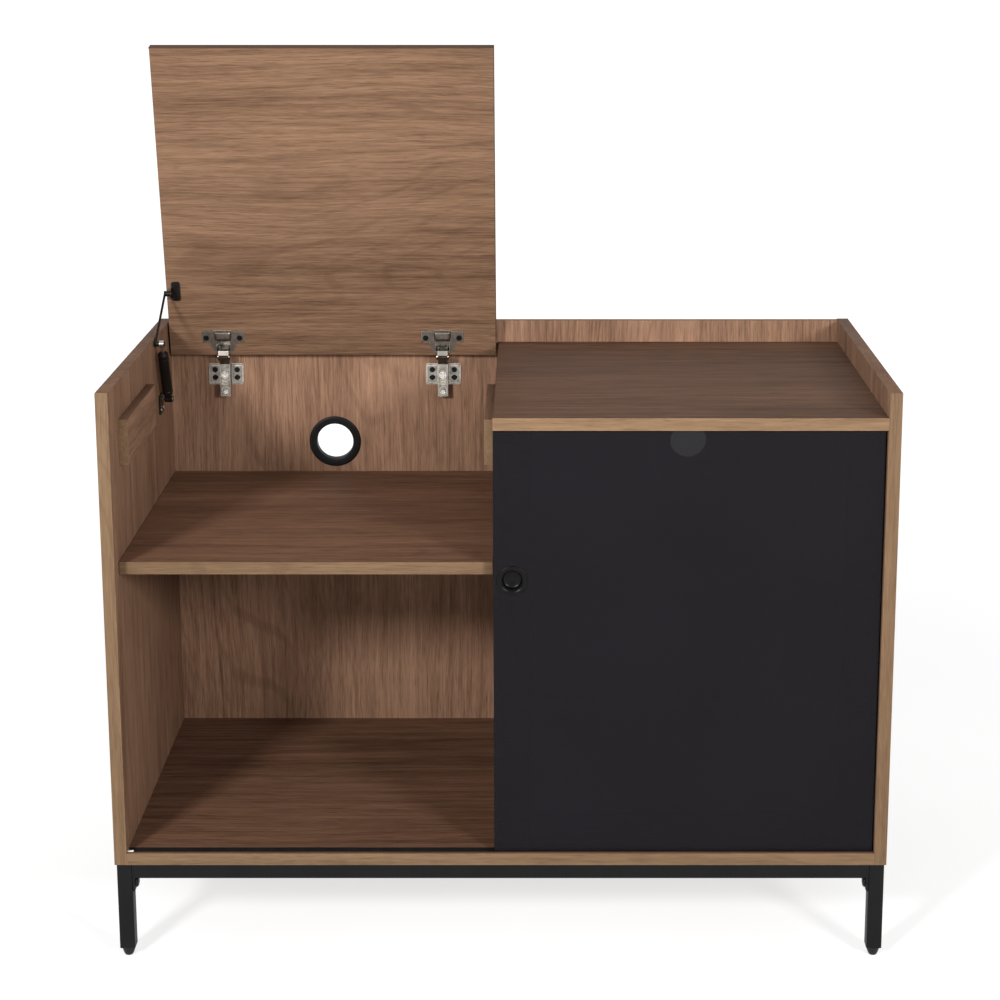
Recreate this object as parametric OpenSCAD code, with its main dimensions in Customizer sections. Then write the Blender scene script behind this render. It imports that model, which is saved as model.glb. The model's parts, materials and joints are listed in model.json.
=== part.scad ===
// Two-bay media cabinet on a steel base.
// The left bay has a lift-up lid, the right bay a see-through sliding door.
// Frame: origin on the floor under the middle of the cabinet, +X right, +Y back, +Z up.
// The lid is drawn open and the door in front of the right bay.

/* [Carcass] */
// Outside width
body_w = 1000; // [900:10:1200]
// Outside depth
body_d = 472; // [450:2:520]
// Height of the side and back panels
side_h = 628; // [600:2:680]
// Thickness of the boards
board_t = 16; // [15:1:18]
// Thickness of the back panel
back_t = 12; // [9:1:16]
// Height of the raised edge above the top
gallery_h = 32; // [20:1:50]
// Setback of the shelves and the divider from the front
inner_setback = 24; // [22:1:40]

/* [Shelves] */
// Height of the middle shelves' top surface above the floor
mid_shelf_z = 533; // [480:1:560]
// Height of the lower right shelf's top surface above the floor
low_shelf_z = 347; // [300:1:400]

/* [Base] */
// Height from the floor to the carcass
base_h = 131; // [100:1:180]
// Side of the square base tubes
tube_w = 20; // [18:1:30]
// Wall of the base tubes
tube_wall = 1.5; // [1:0.1:2]
// Inset of the base from the carcass
base_inset = 2; // [0:1:10]
// Height of a foot glide below its leg
glide_h = 13; // [8:1:20]

/* [Lid] */
// Angle between the lid's open and closed positions
lid_open = 78.7; // [60:0.1:85]
// Gap between the lid and the back panel when closed
lid_back_gap = 3.2; // [3.2:0.1:5]
// Gap at the lid's left end
lid_left_gap = 2; // [2:0.5:4]
// Gap between the lid and the fixed top
lid_right_gap = 3; // [2:0.5:5]
// Distance between the two hinges
hinge_pitch = 316; // [280:2:340]

/* [Door] */
// Thickness of the see-through pane
pane_t = 5; // [4:0.5:5]
// Thickness of the strips behind the pane
strip_t = 6; // [6:0.5:6.5]
// Width of the upright strips
stile_w = 47; // [44:1:60]
// Height of the door's bottom strip above the carcass floor
rail_top = 53; // [40:1:80]
// Height of the finger pull above the floor
pull_z = 514; // [400:1:600]

/* [Cable outlets] */
// Bore of a cable grommet
grommet_bore = 53; // [50:1:54]
// Position of the left grommet from the middle
grommet_left_x = -248; // [-300:1:-200]
// Position of the right grommet from the middle
grommet_right_x = 270; // [200:1:300]
// Height of the grommets above the floor
grommet_z = 578; // [570:1:620]

/* [Hidden] */
$fn = 48;
cut = 0.5;

// Carcass planes
x_in = body_w / 2 - board_t;
y_front = -body_d / 2;
y_back = body_d / 2;
y_in = y_back - back_t;
y_inner_front = y_front + inner_setback;
z_floor = base_h + board_t;
z_side = base_h + side_h;
z_top = z_side - gallery_h;
z_under = z_top - board_t;
divider_half = board_t / 2;

// Dowels between the boards
dowel_r = 4;
dowel_in_face = 10;
dowel_in_edge = 20;
dowel_ys = [-150, 20, 190];

// Shelf pins
pin_r = 2.5;
pin_in = 7;
pin_out = 8;
pin_ys = [-160, 180];
shelf_gap = 1;

// Battens that carry the closed lid
batten_t = 12;
batten_h = 59;
batten_y0 = -178;
batten_len = 200;
batten_top = z_under - 0.3;

// Base
tube_half = tube_w / 2;
leg_x = body_w / 2 - base_inset - tube_half;
leg_y = body_d / 2 - base_inset - tube_half;
rail_z = base_h - tube_w;
end_plate_t = 3;
end_plate_h = 38;
leg_bolt_z = base_h - 28;
leg_bolt_r = 3;
leg_bolt_len = 10;
leg_bolt_head_r = 7.5;
leg_bolt_head_h = 4;
glide_top_r = 9.5;
glide_foot_r = 4;
glide_steps = 6;
glide_plug_h = 16;
base_screw_r = 2.5;
base_screw_head_r = 5;
base_screw_head_h = 2.5;
base_screw_grip = 8.5;
base_screw_y = leg_y - 4;
base_screw_xs = [-300, 0, 300];

// Hinge axis of the lid, inside the board near its back edge
axis_y = y_in - 11;
axis_z = z_under + 9;
lid_x0 = -x_in + lid_left_gap;
lid_x1 = -divider_half - lid_right_gap;
lid_mid_x = (lid_x0 + lid_x1) / 2;
lid_y1 = y_in - lid_back_gap;
hinge_xs = [lid_mid_x - hinge_pitch / 2, lid_mid_x + hinge_pitch / 2];

// Cup hinge
cup_r = 17.5;
cup_wall = 0.8;
cup_depth = 12.5;
cup_y = lid_y1 - 4 - cup_r;
cup_rim_r = 19;
flange_t = 1.2;
flange_w = 60;
flange_h = 19;
flange_y = lid_y1 - 30;
flange_corner = 3;
flange_lip_t = 0.8;
flange_lip_h = 2;
cup_screw_x = 24;
cup_screw_y = flange_y + 2;
cup_screw_r = 1.8;
cup_screw_head_r = 4;
cup_screw_head_h = 1;
cup_screw_len = 10;
mouth_w = 19.6;
mouth_y0 = axis_y - 22;
dome_w = 24.6;
dome_r = 4.2;
dome_y0 = flange_y - flange_h / 2 + 0.4;
dome_y1 = axis_y - 15;
dome_z = z_under - flange_t - 0.8;
hinge_pin_r = 1.2;
cheek_gap = 5;
cheek_t = 2;
cheek_reach = 5;
hinge_pin_half = cheek_gap + cheek_t;
knuckle_r = 2.3;
nose_w = 8;
neck_w = 14;
neck_t = 3.2;
collar_w = 18;
arm_w = 14;
arm_web_t = 2;
arm_front_y = y_in - 14.5;
arm_low_z = z_under - 62;
arm_high_z = z_under - 14;
arm_depth = 6.5;
arm_pocket_w = 8.4;
arm_pocket_h = 3;
arm_pocket_t = 1;
arm_pocket_zs = [z_under - 38.3, z_under - 42.6];
end_pocket_w = 9.6;
end_pocket_l = 13;
end_pocket_z = z_under - 54;
plate_w = 50.8;
plate_t = 1.5;
plate_z0 = z_under - 47;
plate_z1 = z_under - 16;
boss_w = 10.4;
boss_front_y = arm_front_y + arm_web_t + 0.6;
plate_hole_x = 16;
plate_hole_r = 2.2;
plate_hole_z = z_under - 25;
plate_slot_r = 3;
plate_slot_l = 9.4;
plate_slot_z = z_under - 36.5;
plate_pad_w = 15.5;
plate_pad_h = 25;
plate_pad_t = 0.8;
plate_screw_r = 2;
plate_screw_head_r = 3.9;
plate_screw_head_h = 1.2;
plate_screw_grip = 9;
clamp_screw_z = z_under - 30;
end_screw_z = z_under - 56;
arm_screw_r = 2;
clamp_head_r = 5.2;
end_head_r = 3.8;
arm_head_h = 2.4;

// Lid stay: a four-bar linkage whose opposite sides are equal.
// The barrel stays parallel to the line from the lid hinge to the lid stud.
stay_x = -x_in + 11.5;
stay_back = 90;
stay_drop = 54;
stay_a_y = axis_y - stay_back;
stay_a_z = axis_z - stay_drop;
stud_s = 100;
stud_h = 10;
stud_y = lid_y1 - stud_s;
stud_z = z_under - stud_h;
barrel_len = sqrt(pow(stud_y - axis_y, 2) + pow(stud_z - axis_z, 2));
barrel_tilt = atan2(stud_z - axis_z, stud_y - axis_y) - lid_open;
arm_len = sqrt(pow(stay_back, 2) + pow(stay_drop, 2));
arm_tilt = atan2(stay_drop, stay_back);
elbow_y = stay_a_y + barrel_len * cos(barrel_tilt);
elbow_z = stay_a_z + barrel_len * sin(barrel_tilt);
barrel_r = 7.5;
barrel_start = 9;
barrel_end = 80;
stay_eye_r = 5;
stay_pin_r = 2;
stay_fit = 0.05;
elbow_play = 0.3;
rod_r = 2.6;
arm_x0 = -x_in + 1.3;
arm_t = 2;
arm_strip_w = 6;
arm_eye_r = 4.2;
side_plate_t = 2;
side_plate_w = 28;
side_plate_h = 28;
side_plate_corner = 5;
side_screw_dy = 8;
side_screw_dz = -14;
lid_plate_w = 12;
lid_plate_x = -x_in + 10.5;
lid_plate_len = 29;
lid_plate_t = 2;
lid_screw_ds = 10;
ear_t = 2;
ear_w = 13;
stay_screw_r = 1.6;
stay_screw_head_r = 3;
stay_screw_head_h = 1.4;
stay_screw_len = 9;

// Sliding door
door_front_y = y_front + 6.5;
door_back_y = door_front_y + pane_t + strip_t;
strip_y = door_front_y + pane_t;
door_x0 = -divider_half;
door_x1 = x_in - 2;
door_z0 = z_floor - 4.5;
door_z1 = z_under - 2;
groove_y0 = door_front_y - 1;
groove_y1 = door_back_y + 1;
groove_depth = 6;
guide_r = 2.5;
guide_y = strip_y + strip_t / 2;
guide_x = door_x1 - 11;
guide_rise = 8.5;
guide_in = 20;
guide_play = 0.3;
guide_groove_depth = 8;
pad_len = 30;
pad_gap = 0.3;
pull_x = door_x0 + 24;
pull_r = 19.5;
pull_body_r = 14;
pull_cup_r = 12;
pull_proud = 1.2;
pull_floor = 1.8;
pull_dish_r = 16.5;
pull_dish_depth = 3;
stop_len = 8;
stop_t = 4;
stop_top = 0.5;

// Grommets
grommet_r = grommet_bore / 2;
grommet_hole_r = 30;
grommet_rim_r = 37.5;
grommet_rim_t = 2.5;

// ---------- shared shapes ----------

// Box between two corners
module span(a, b) {
    translate(a) cube(b - a);
}

// Round bar along X, Y or Z
module bar_x(r, x0, x1) {
    translate([x0, 0, 0]) rotate([0, 90, 0]) cylinder(r = r, h = x1 - x0);
}
module bar_y(r, y0, y1) {
    translate([0, y0, 0]) rotate([-90, 0, 0]) cylinder(r = r, h = y1 - y0);
}
module bar_z(r, z0, z1) {
    translate([0, 0, z0]) cylinder(r = r, h = z1 - z0);
}

// Rectangle with round corners, in the XY plane
module round_rect(w, h, r) {
    square([w - 2 * r, h], center = true);
    square([w, h - 2 * r], center = true);
    for (sx = [-1, 1], sy = [-1, 1]) {
        translate([sx * (w / 2 - r), sy * (h / 2 - r)]) circle(r = r);
    }
}

// Slot with round ends, along X in the XY plane
module slot(l, r) {
    square([l - 2 * r, 2 * r], center = true);
    for (sx = [-1, 1]) {
        translate([sx * (l / 2 - r), 0]) circle(r = r);
    }
}

// Strip of constant thickness along a bent path
module bent_strip(points, t) {
    for (i = [0 : len(points) - 2]) {
        d = points[i + 1] - points[i];
        translate(points[i]) rotate(atan2(d[1], d[0])) translate([0, -t / 2]) square([norm(d), t]);
    }
    for (p = points) {
        translate(p) circle(r = t / 2);
    }
}

// Extrude a shape drawn in (Y, Z) along X
module along_x(x0, x1) {
    translate([x0, 0, 0]) rotate([90, 0, 90]) linear_extrude(height = x1 - x0) children();
}

// Extrude a shape drawn in (X, Z) along Y
module along_y(y0, y1) {
    translate([0, y1, 0]) rotate([90, 0, 0]) linear_extrude(height = y1 - y0) children();
}

// Move a piece from the lid's closed position to the open one
module lid_opened() {
    translate([0, axis_y, axis_z]) rotate([-lid_open, 0, 0]) translate([0, -axis_y, -axis_z]) children();
}

// Screw head with a cross recess; its shank points down
module cross_screw(shank_r, shank_len, head_r, head_h) {
    difference() {
        union() {
            bar_z(head_r, 0, head_h);
            bar_z(shank_r, -shank_len, 0);
        }
        for (a = [0, 90]) {
            rotate(a) translate([-head_r * 0.6, -head_r * 0.13, head_h * 0.45])
                cube([head_r * 1.2, head_r * 0.26, head_h]);
        }
    }
}

// Square tube, open at both ends, along Z
module square_tube(z0, z1) {
    difference() {
        span([-tube_half, -tube_half, z0], [tube_half, tube_half, z1]);
        span([tube_wall - tube_half, tube_wall - tube_half, z0 - cut],
             [tube_half - tube_wall, tube_half - tube_wall, z1 + cut]);
    }
}

// ---------- carcass ----------

// Dowels through a joint between a side or divider face and a board's end
module end_dowels(x_face, dir, z, r) {
    for (y = dowel_ys) {
        translate([0, y, z]) {
            if (dir > 0) {
                bar_x(r, x_face - dowel_in_face, x_face + dowel_in_edge);
            } else {
                bar_x(r, x_face - dowel_in_edge, x_face + dowel_in_face);
            }
        }
    }
}

// Dowels between the divider's end and a level board
module divider_dowels(z_face, dir, r) {
    for (y = dowel_ys) {
        translate([0, y, 0]) {
            if (dir > 0) {
                bar_z(r, z_face - dowel_in_edge, z_face + dowel_in_face);
            } else {
                bar_z(r, z_face - dowel_in_face, z_face + dowel_in_edge);
            }
        }
    }
}

module dowels() {
    color("burlywood") {
        end_dowels(-x_in, 1, base_h + board_t / 2, dowel_r);
        end_dowels(x_in, -1, base_h + board_t / 2, dowel_r);
        end_dowels(x_in, -1, z_under + board_t / 2, dowel_r);
        divider_dowels(z_under, 1, dowel_r);
        divider_dowels(z_floor, -1, dowel_r);
    }
}

// Pins under a shelf: four between x0 and x1
module pins_under(x0, x1, z_shelf_top, r) {
    z = z_shelf_top - board_t - pin_r;
    for (y = pin_ys) {
        translate([0, y, z]) {
            bar_x(r, x0 - pin_in, x0 + pin_out);
            bar_x(r, x1 - pin_out, x1 + pin_in);
        }
    }
}

module all_shelf_pins(r) {
    pins_under(-x_in, -divider_half, mid_shelf_z, r);
    pins_under(divider_half, x_in, mid_shelf_z, r);
    pins_under(divider_half, x_in, low_shelf_z, r);
}

module shelf_pins() {
    color("silver") all_shelf_pins(pin_r);
}

module side_panel_left() {
    color("peru") difference() {
        span([-body_w / 2, y_front, base_h], [-x_in, y_back, z_side]);
        end_dowels(-x_in, 1, base_h + board_t / 2, dowel_r);
        all_shelf_pins(pin_r);
        stay_side_screw_set();
    }
}

module side_panel_right() {
    color("peru") difference() {
        span([x_in, y_front, base_h], [body_w / 2, y_back, z_side]);
        end_dowels(x_in, -1, base_h + board_t / 2, dowel_r);
        end_dowels(x_in, -1, z_under + board_t / 2, dowel_r);
        all_shelf_pins(pin_r);
    }
}

module bottom_panel() {
    color("sienna") difference() {
        span([-x_in, y_front, base_h], [x_in, y_in, z_floor]);
        span([-x_in - cut, groove_y0, z_floor - groove_depth], [x_in + cut, groove_y1, z_floor + cut]);
        end_dowels(-x_in, 1, base_h + board_t / 2, dowel_r);
        end_dowels(x_in, -1, base_h + board_t / 2, dowel_r);
        divider_dowels(z_floor, -1, dowel_r);
        base_screw_shanks(base_screw_r);
    }
}

module top_panel() {
    color("sienna") difference() {
        span([-divider_half, y_front, z_under], [x_in, y_in, z_top]);
        span([-divider_half - cut, guide_y - guide_r - guide_play, z_under - cut],
             [x_in + cut, guide_y + guide_r + guide_play, z_under + guide_groove_depth]);
        end_dowels(x_in, -1, z_under + board_t / 2, dowel_r);
        divider_dowels(z_under, 1, dowel_r);
    }
}

module divider() {
    color("peru") difference() {
        span([-divider_half, y_inner_front, z_floor], [divider_half, y_in, z_under]);
        divider_dowels(z_under, 1, dowel_r);
        divider_dowels(z_floor, -1, dowel_r);
        all_shelf_pins(pin_r);
    }
}

module back_panel() {
    color("peru") difference() {
        span([-x_in, y_in, base_h], [x_in, y_back, z_side]);
        for (x = [grommet_left_x, grommet_right_x]) {
            translate([x, 0, grommet_z]) bar_y(grommet_hole_r, y_in - cut, y_back + cut);
        }
        hinge_plate_screw_shanks();
    }
}

module shelf(x0, x1, z_shelf_top) {
    color("sienna") span([x0 + shelf_gap, y_inner_front, z_shelf_top - board_t],
                         [x1 - shelf_gap, y_in - shelf_gap, z_shelf_top]);
}
module shelf_left() {
    shelf(-x_in, -divider_half, mid_shelf_z);
}
module shelf_right_upper() {
    shelf(divider_half, x_in, mid_shelf_z);
}
module shelf_right_lower() {
    shelf(divider_half, x_in, low_shelf_z);
}

module lid_batten(x0) {
    color("saddlebrown") span([x0, batten_y0, batten_top - batten_h],
                              [x0 + batten_t, batten_y0 + batten_len, batten_top]);
}
module lid_batten_left() {
    lid_batten(-x_in);
}
module lid_batten_right() {
    lid_batten(-divider_half - batten_t);
}

// Rim in front of the back panel and a sleeve through it
module cable_grommet(x) {
    y0 = y_in - grommet_rim_t;
    color("black") translate([x, y_back, grommet_z]) rotate([90, 0, 0]) rotate_extrude($fn = 72) polygon([
        [grommet_r, 0],
        [grommet_hole_r, 0],
        [grommet_hole_r, back_t],
        [grommet_rim_r, back_t],
        [grommet_rim_r - 0.6, y_back - y0 - 0.8],
        [grommet_rim_r - 1.8, y_back - y0],
        [grommet_r + 1.2, y_back - y0],
        [grommet_r, y_back - y0 - 1.2]
    ]);
}
module cable_grommet_left() {
    cable_grommet(grommet_left_x);
}
module cable_grommet_right() {
    cable_grommet(grommet_right_x);
}

// ---------- base ----------

module leg(sx, sy) {
    color("dimgray") difference() {
        translate([sx * leg_x, sy * leg_y, 0]) square_tube(glide_h, base_h);
        leg_bolt_shanks(leg_bolt_r);
    }
}
module leg_front_left() {
    leg(-1, -1);
}
module leg_front_right() {
    leg(1, -1);
}
module leg_rear_left() {
    leg(-1, 1);
}
module leg_rear_right() {
    leg(1, 1);
}

// Long rail between two end plates
module long_rail(sy) {
    x_end = leg_x - tube_half - end_plate_t;
    color("dimgray") difference() {
        translate([-x_end, sy * leg_y, rail_z + tube_half]) rotate([0, 90, 0]) square_tube(0, 2 * x_end);
        base_screw_shanks(base_screw_r);
    }
}
module rail_front() {
    long_rail(-1);
}
module rail_rear() {
    long_rail(1);
}

// Plates welded to the ends of the long rails, bolted against the legs
module rail_end_plates() {
    x_mid = leg_x - tube_half - end_plate_t / 2;
    color("dimgray") difference() {
        for (sx = [-1, 1], sy = [-1, 1]) {
            translate([sx * x_mid, sy * leg_y, base_h - end_plate_h / 2])
                cube([end_plate_t, tube_w, end_plate_h], center = true);
        }
        leg_bolt_shanks(leg_bolt_r);
    }
}

module side_rail(sx) {
    y_end = leg_y - tube_half;
    color("dimgray") translate([sx * leg_x, -y_end, rail_z + tube_half]) rotate([-90, 0, 0])
        square_tube(0, 2 * y_end);
}
module rail_left() {
    side_rail(-1);
}
module rail_right() {
    side_rail(1);
}

// Radius and height of the foot's outline, from the sole (0) to the leg (1)
function glide_rim(t) = [glide_foot_r + (glide_top_r - glide_foot_r) * pow(t, 0.6), glide_h * t];

// Plastic foot: a plug inside the tube, a domed body and a small flat sole
module glide() {
    plug_half = tube_half - tube_wall;
    translate([-plug_half, -plug_half, glide_h]) cube([2 * plug_half, 2 * plug_half, glide_plug_h]);
    rotate_extrude() polygon([
        [0, 0],
        for (i = [0 : glide_steps]) glide_rim(i / glide_steps),
        [0, glide_h]
    ]);
}
module foot_glides() {
    color("black") for (sx = [-1, 1], sy = [-1, 1]) {
        translate([sx * leg_x, sy * leg_y, 0]) glide();
    }
}

module leg_bolt_shanks(r) {
    x_face = leg_x - tube_half - end_plate_t;
    for (sx = [-1, 1], sy = [-1, 1]) {
        translate([sx * x_face, sy * leg_y, leg_bolt_z]) rotate([0, sx * 90, 0]) bar_z(r, 0, leg_bolt_len);
    }
}
// Domed bolts that draw the end plates against the legs
module leg_bolts() {
    dome_rad = (pow(leg_bolt_head_r, 2) + pow(leg_bolt_head_h, 2)) / (2 * leg_bolt_head_h);
    x_face = leg_x - tube_half - end_plate_t;
    color("black") {
        leg_bolt_shanks(leg_bolt_r);
        for (sx = [-1, 1], sy = [-1, 1]) {
            translate([sx * x_face, sy * leg_y, leg_bolt_z]) rotate([0, -sx * 90, 0]) intersection() {
                bar_z(leg_bolt_head_r, 0, leg_bolt_head_h);
                translate([0, 0, leg_bolt_head_h - dome_rad]) sphere(r = dome_rad);
            }
        }
    }
}

module base_screw_shanks(r) {
    for (x = base_screw_xs, sy = [-1, 1]) {
        translate([x, sy * base_screw_y, 0]) bar_z(r, rail_z, base_h + base_screw_grip);
    }
}
// Screws up through the long rails into the bottom panel
module base_screws() {
    color("silver") {
        base_screw_shanks(base_screw_r);
        for (x = base_screw_xs, sy = [-1, 1]) {
            translate([x, sy * base_screw_y, 0]) bar_z(base_screw_head_r, rail_z - base_screw_head_h, rail_z);
        }
    }
}

// ---------- lid hinges, carcass side ----------

// Holes of the mounting plate, in (X, Z): a round one and a slot in each wing
module plate_holes() {
    for (sx = [-1, 1]) {
        translate([sx * plate_hole_x, plate_hole_z]) circle(r = plate_hole_r);
        translate([sx * plate_hole_x, plate_slot_z]) slot(plate_slot_l, plate_slot_r);
    }
}
// Plate with a raised pad on each wing and a boss under the arm
module hinge_plates() {
    pad_back = y_in - plate_t;
    pad_front = pad_back - plate_pad_t;
    plate_mid = (plate_z0 + plate_z1) / 2;
    color("silver") for (x = hinge_xs) {
        translate([x, 0, 0]) difference() {
            union() {
                along_y(pad_back, y_in) translate([0, plate_mid])
                    round_rect(plate_w, plate_z1 - plate_z0, flange_corner);
                along_y(pad_front, pad_back) for (sx = [-1, 1]) {
                    translate([sx * plate_hole_x, plate_mid])
                        round_rect(plate_pad_w, plate_pad_h, flange_corner);
                }
                span([-boss_w / 2, boss_front_y, arm_low_z + 2], [boss_w / 2, pad_back, plate_z1 - 2]);
            }
            along_y(pad_front - cut, y_in + cut) plate_holes();
            arm_screw_shanks();
        }
    }
}

module hinge_plate_screw_shanks() {
    for (x = hinge_xs, sx = [-1, 1], z = [plate_hole_z, plate_slot_z]) {
        translate([x + sx * plate_hole_x, y_in, z]) bar_y(plate_screw_r, -plate_t, plate_screw_grip);
    }
}
module hinge_plate_screws() {
    reach = plate_t + plate_pad_t;
    color("dimgray") for (x = hinge_xs, sx = [-1, 1], z = [plate_hole_z, plate_slot_z]) {
        translate([x + sx * plate_hole_x, y_in - reach, z]) rotate([90, 0, 0])
            cross_screw(plate_screw_r, reach + plate_screw_grip, plate_screw_head_r, plate_screw_head_h);
    }
}

// Bend of the arm from its straight part, round the lid's back edge, to the hinge axis
arm_path = [
    [arm_front_y + neck_t / 2, arm_high_z],
    [axis_y - 10, axis_z - 14],
    [axis_y - 13.4, axis_z - 8],
    [axis_y - 12.4, axis_z - 2.6],
    [axis_y, axis_z]
];
module hinge_arms() {
    color("silver") for (x = hinge_xs) {
        translate([x, 0, 0]) difference() {
            union() {
                // straight channel
                span([-arm_w / 2, arm_front_y, arm_low_z], [arm_w / 2, arm_front_y + arm_web_t, arm_high_z]);
                for (sx = [-1, 1]) {
                    translate([sx * (arm_w / 2 - 0.8), 0, 0])
                        span([-0.8, arm_front_y, arm_low_z], [0.8, arm_front_y + arm_depth, arm_high_z]);
                }
                // bent neck, wider at its collar and narrower at its nose
                along_x(-neck_w / 2, neck_w / 2) bent_strip([for (i = [0 : 3]) arm_path[i]], neck_t);
                along_x(-nose_w / 2, nose_w / 2) {
                    bent_strip([for (i = [3 : 4]) arm_path[i]], neck_t);
                    translate(arm_path[4]) circle(r = knuckle_r);
                }
                along_x(-collar_w / 2, collar_w / 2)
                    bent_strip([arm_path[1], arm_path[1] + 0.6 * (arm_path[2] - arm_path[1])], neck_t + 0.6);
            }
            translate([0, axis_y, axis_z]) bar_x(hinge_pin_r + stay_fit, -nose_w, nose_w);
            arm_screw_shanks();
            arm_pockets();
        }
    }
}

// Shallow pressings in the arm's front face: two bars and a long one round the end screw
module arm_pockets() {
    along_y(arm_front_y - cut, arm_front_y + arm_pocket_t) {
        for (z = arm_pocket_zs) {
            translate([0, z]) round_rect(arm_pocket_w, arm_pocket_h, 1);
        }
        translate([0, end_pocket_z]) rotate(90) slot(end_pocket_l, end_pocket_w / 2);
    }
}

module arm_screw_shanks() {
    for (z = [clamp_screw_z, end_screw_z]) {
        translate([0, 0, z]) bar_y(arm_screw_r, arm_front_y - cut, y_in - plate_t - 1);
    }
}
module hinge_arm_screws() {
    color("silver") for (x = hinge_xs) {
        translate([x, arm_front_y, clamp_screw_z]) rotate([90, 0, 0])
            cross_screw(arm_screw_r, y_in - plate_t - 1 - arm_front_y, clamp_head_r, arm_head_h);
        translate([x, arm_front_y + arm_pocket_t, end_screw_z]) rotate([90, 0, 0])
            cross_screw(arm_screw_r, y_in - plate_t - 1 - arm_front_y - arm_pocket_t, end_head_r, arm_head_h);
    }
}

// ---------- lid ----------

module lid_panel() {
    color("peru") lid_opened() difference() {
        span([lid_x0, y_front, z_under], [lid_x1, lid_y1, z_top]);
        for (x = hinge_xs) {
            translate([x, cup_y, 0]) bar_z(cup_r, z_under - cut, z_under + cup_depth);
        }
        cup_screw_set(cup_screw_r);
        stay_lid_screw_shanks();
    }
}

// Two upright cheeks inside a cup that hold the ends of the hinge pin
module cup_cheeks() {
    for (sx = [-1, 1]) {
        translate([sx * (cheek_gap + cheek_t / 2), axis_y - cheek_reach, z_under + 1])
            translate([-cheek_t / 2, 0, 0]) cube([cheek_t, 2 * cheek_reach, cup_depth]);
    }
}

// Pressed steel cup behind a flange with a mouth for the arm
module hinge_cups() {
    z0 = z_under - flange_t;
    lip_x0 = dome_w / 2 + 0.3;
    lip_x1 = flange_w / 2 - 1;
    color("silver") lid_opened() for (x = hinge_xs) {
        difference() {
            union() {
                translate([x, cup_y, 0]) bar_z(cup_r, z0, z_under + cup_depth);
                translate([x, cup_y, 0]) bar_z(cup_rim_r, z0, z_under);
                translate([x, flange_y, z0]) linear_extrude(height = flange_t)
                    round_rect(flange_w, flange_h, flange_corner);
                for (sx = [-1, 1]) {
                    translate([x + sx * (lip_x0 + lip_x1) / 2, flange_y - flange_h / 2, z0 - flange_lip_t])
                        translate([(lip_x0 - lip_x1) / 2, 0, 0])
                            cube([lip_x1 - lip_x0, flange_lip_h, flange_lip_t]);
                }
            }
            translate([x, 0, 0]) difference() {
                translate([0, cup_y, 0]) bar_z(cup_r - cup_wall, z_under, z_under + cup_depth - cup_wall);
                cup_cheeks();
            }
            translate([x, 0, 0]) intersection() {
                translate([0, cup_y, 0]) bar_z(cup_r - cup_wall, z0 - cut, z_under + cut);
                span([-mouth_w / 2, mouth_y0, z0 - cut], [mouth_w / 2, lid_y1, z_under + cut]);
            }
            translate([x, axis_y, axis_z]) bar_x(hinge_pin_r, -hinge_pin_half, hinge_pin_half);
            cup_screw_set(cup_screw_r);
        }
    }
}

// Domed cover over the folded links, between the two screw wings
module hinge_link_covers() {
    z0 = z_under - flange_t;
    color("silver") lid_opened() for (x = hinge_xs) {
        along_x(x - dome_w / 2, x + dome_w / 2) intersection() {
            bent_strip([[dome_y0 + dome_r, dome_z], [dome_y1 - dome_r, dome_z]], 2 * dome_r);
            translate([dome_y0, dome_z - dome_r]) square([dome_y1 - dome_y0, z0 - dome_z + dome_r]);
        }
    }
}

module hinge_pins() {
    color("silver") lid_opened() for (x = hinge_xs) {
        translate([x, axis_y, axis_z]) bar_x(hinge_pin_r, -hinge_pin_half, hinge_pin_half);
    }
}

module cup_screw_set(r) {
    for (x = hinge_xs, sx = [-1, 1]) {
        translate([x + sx * cup_screw_x, cup_screw_y, 0])
            bar_z(r, z_under - flange_t - cut, z_under + cup_screw_len);
    }
}
module hinge_cup_screws() {
    color("dimgray") lid_opened() for (x = hinge_xs, sx = [-1, 1]) {
        translate([x + sx * cup_screw_x, cup_screw_y, z_under - flange_t]) rotate([180, 0, 0])
            cross_screw(cup_screw_r, flange_t + cup_screw_len, cup_screw_head_r, cup_screw_head_h);
    }
}

// ---------- lid stay ----------

module stay_side_screw_set() {
    for (sy = [-1, 1]) {
        translate([-x_in, stay_a_y + sy * side_screw_dy, stay_a_z + side_screw_dz])
            bar_x(stay_screw_r, -stay_screw_len, side_plate_t);
    }
}
module stay_side_bracket() {
    plate_mid = stay_a_z - side_plate_h / 2 + 7;
    color("dimgray") difference() {
        along_x(-x_in, -x_in + side_plate_t) translate([stay_a_y, plate_mid])
            round_rect(side_plate_w, side_plate_h, side_plate_corner);
        stay_side_screw_set();
        translate([0, stay_a_y, stay_a_z]) bar_x(stay_pin_r, -x_in - cut, -x_in + 4);
    }
}
module stay_side_pin() {
    color("silver") translate([0, stay_a_y, stay_a_z]) {
        bar_x(stay_pin_r, -x_in, stay_x + 6);
        bar_x(stay_pin_r + 2, stay_x + 5.8, stay_x + 7.4);
    }
}
module stay_side_screws() {
    color("silver") for (sy = [-1, 1]) {
        translate([-x_in + side_plate_t, stay_a_y + sy * side_screw_dy, stay_a_z + side_screw_dz])
            rotate([0, 90, 0]) cross_screw(stay_screw_r, side_plate_t + stay_screw_len,
                                           stay_screw_head_r, stay_screw_head_h);
    }
}

// Draw a piece of the barrel's link along +Z from its lower pivot
module on_barrel() {
    translate([stay_x, stay_a_y, stay_a_z]) rotate([barrel_tilt - 90, 0, 0]) children();
}

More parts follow.
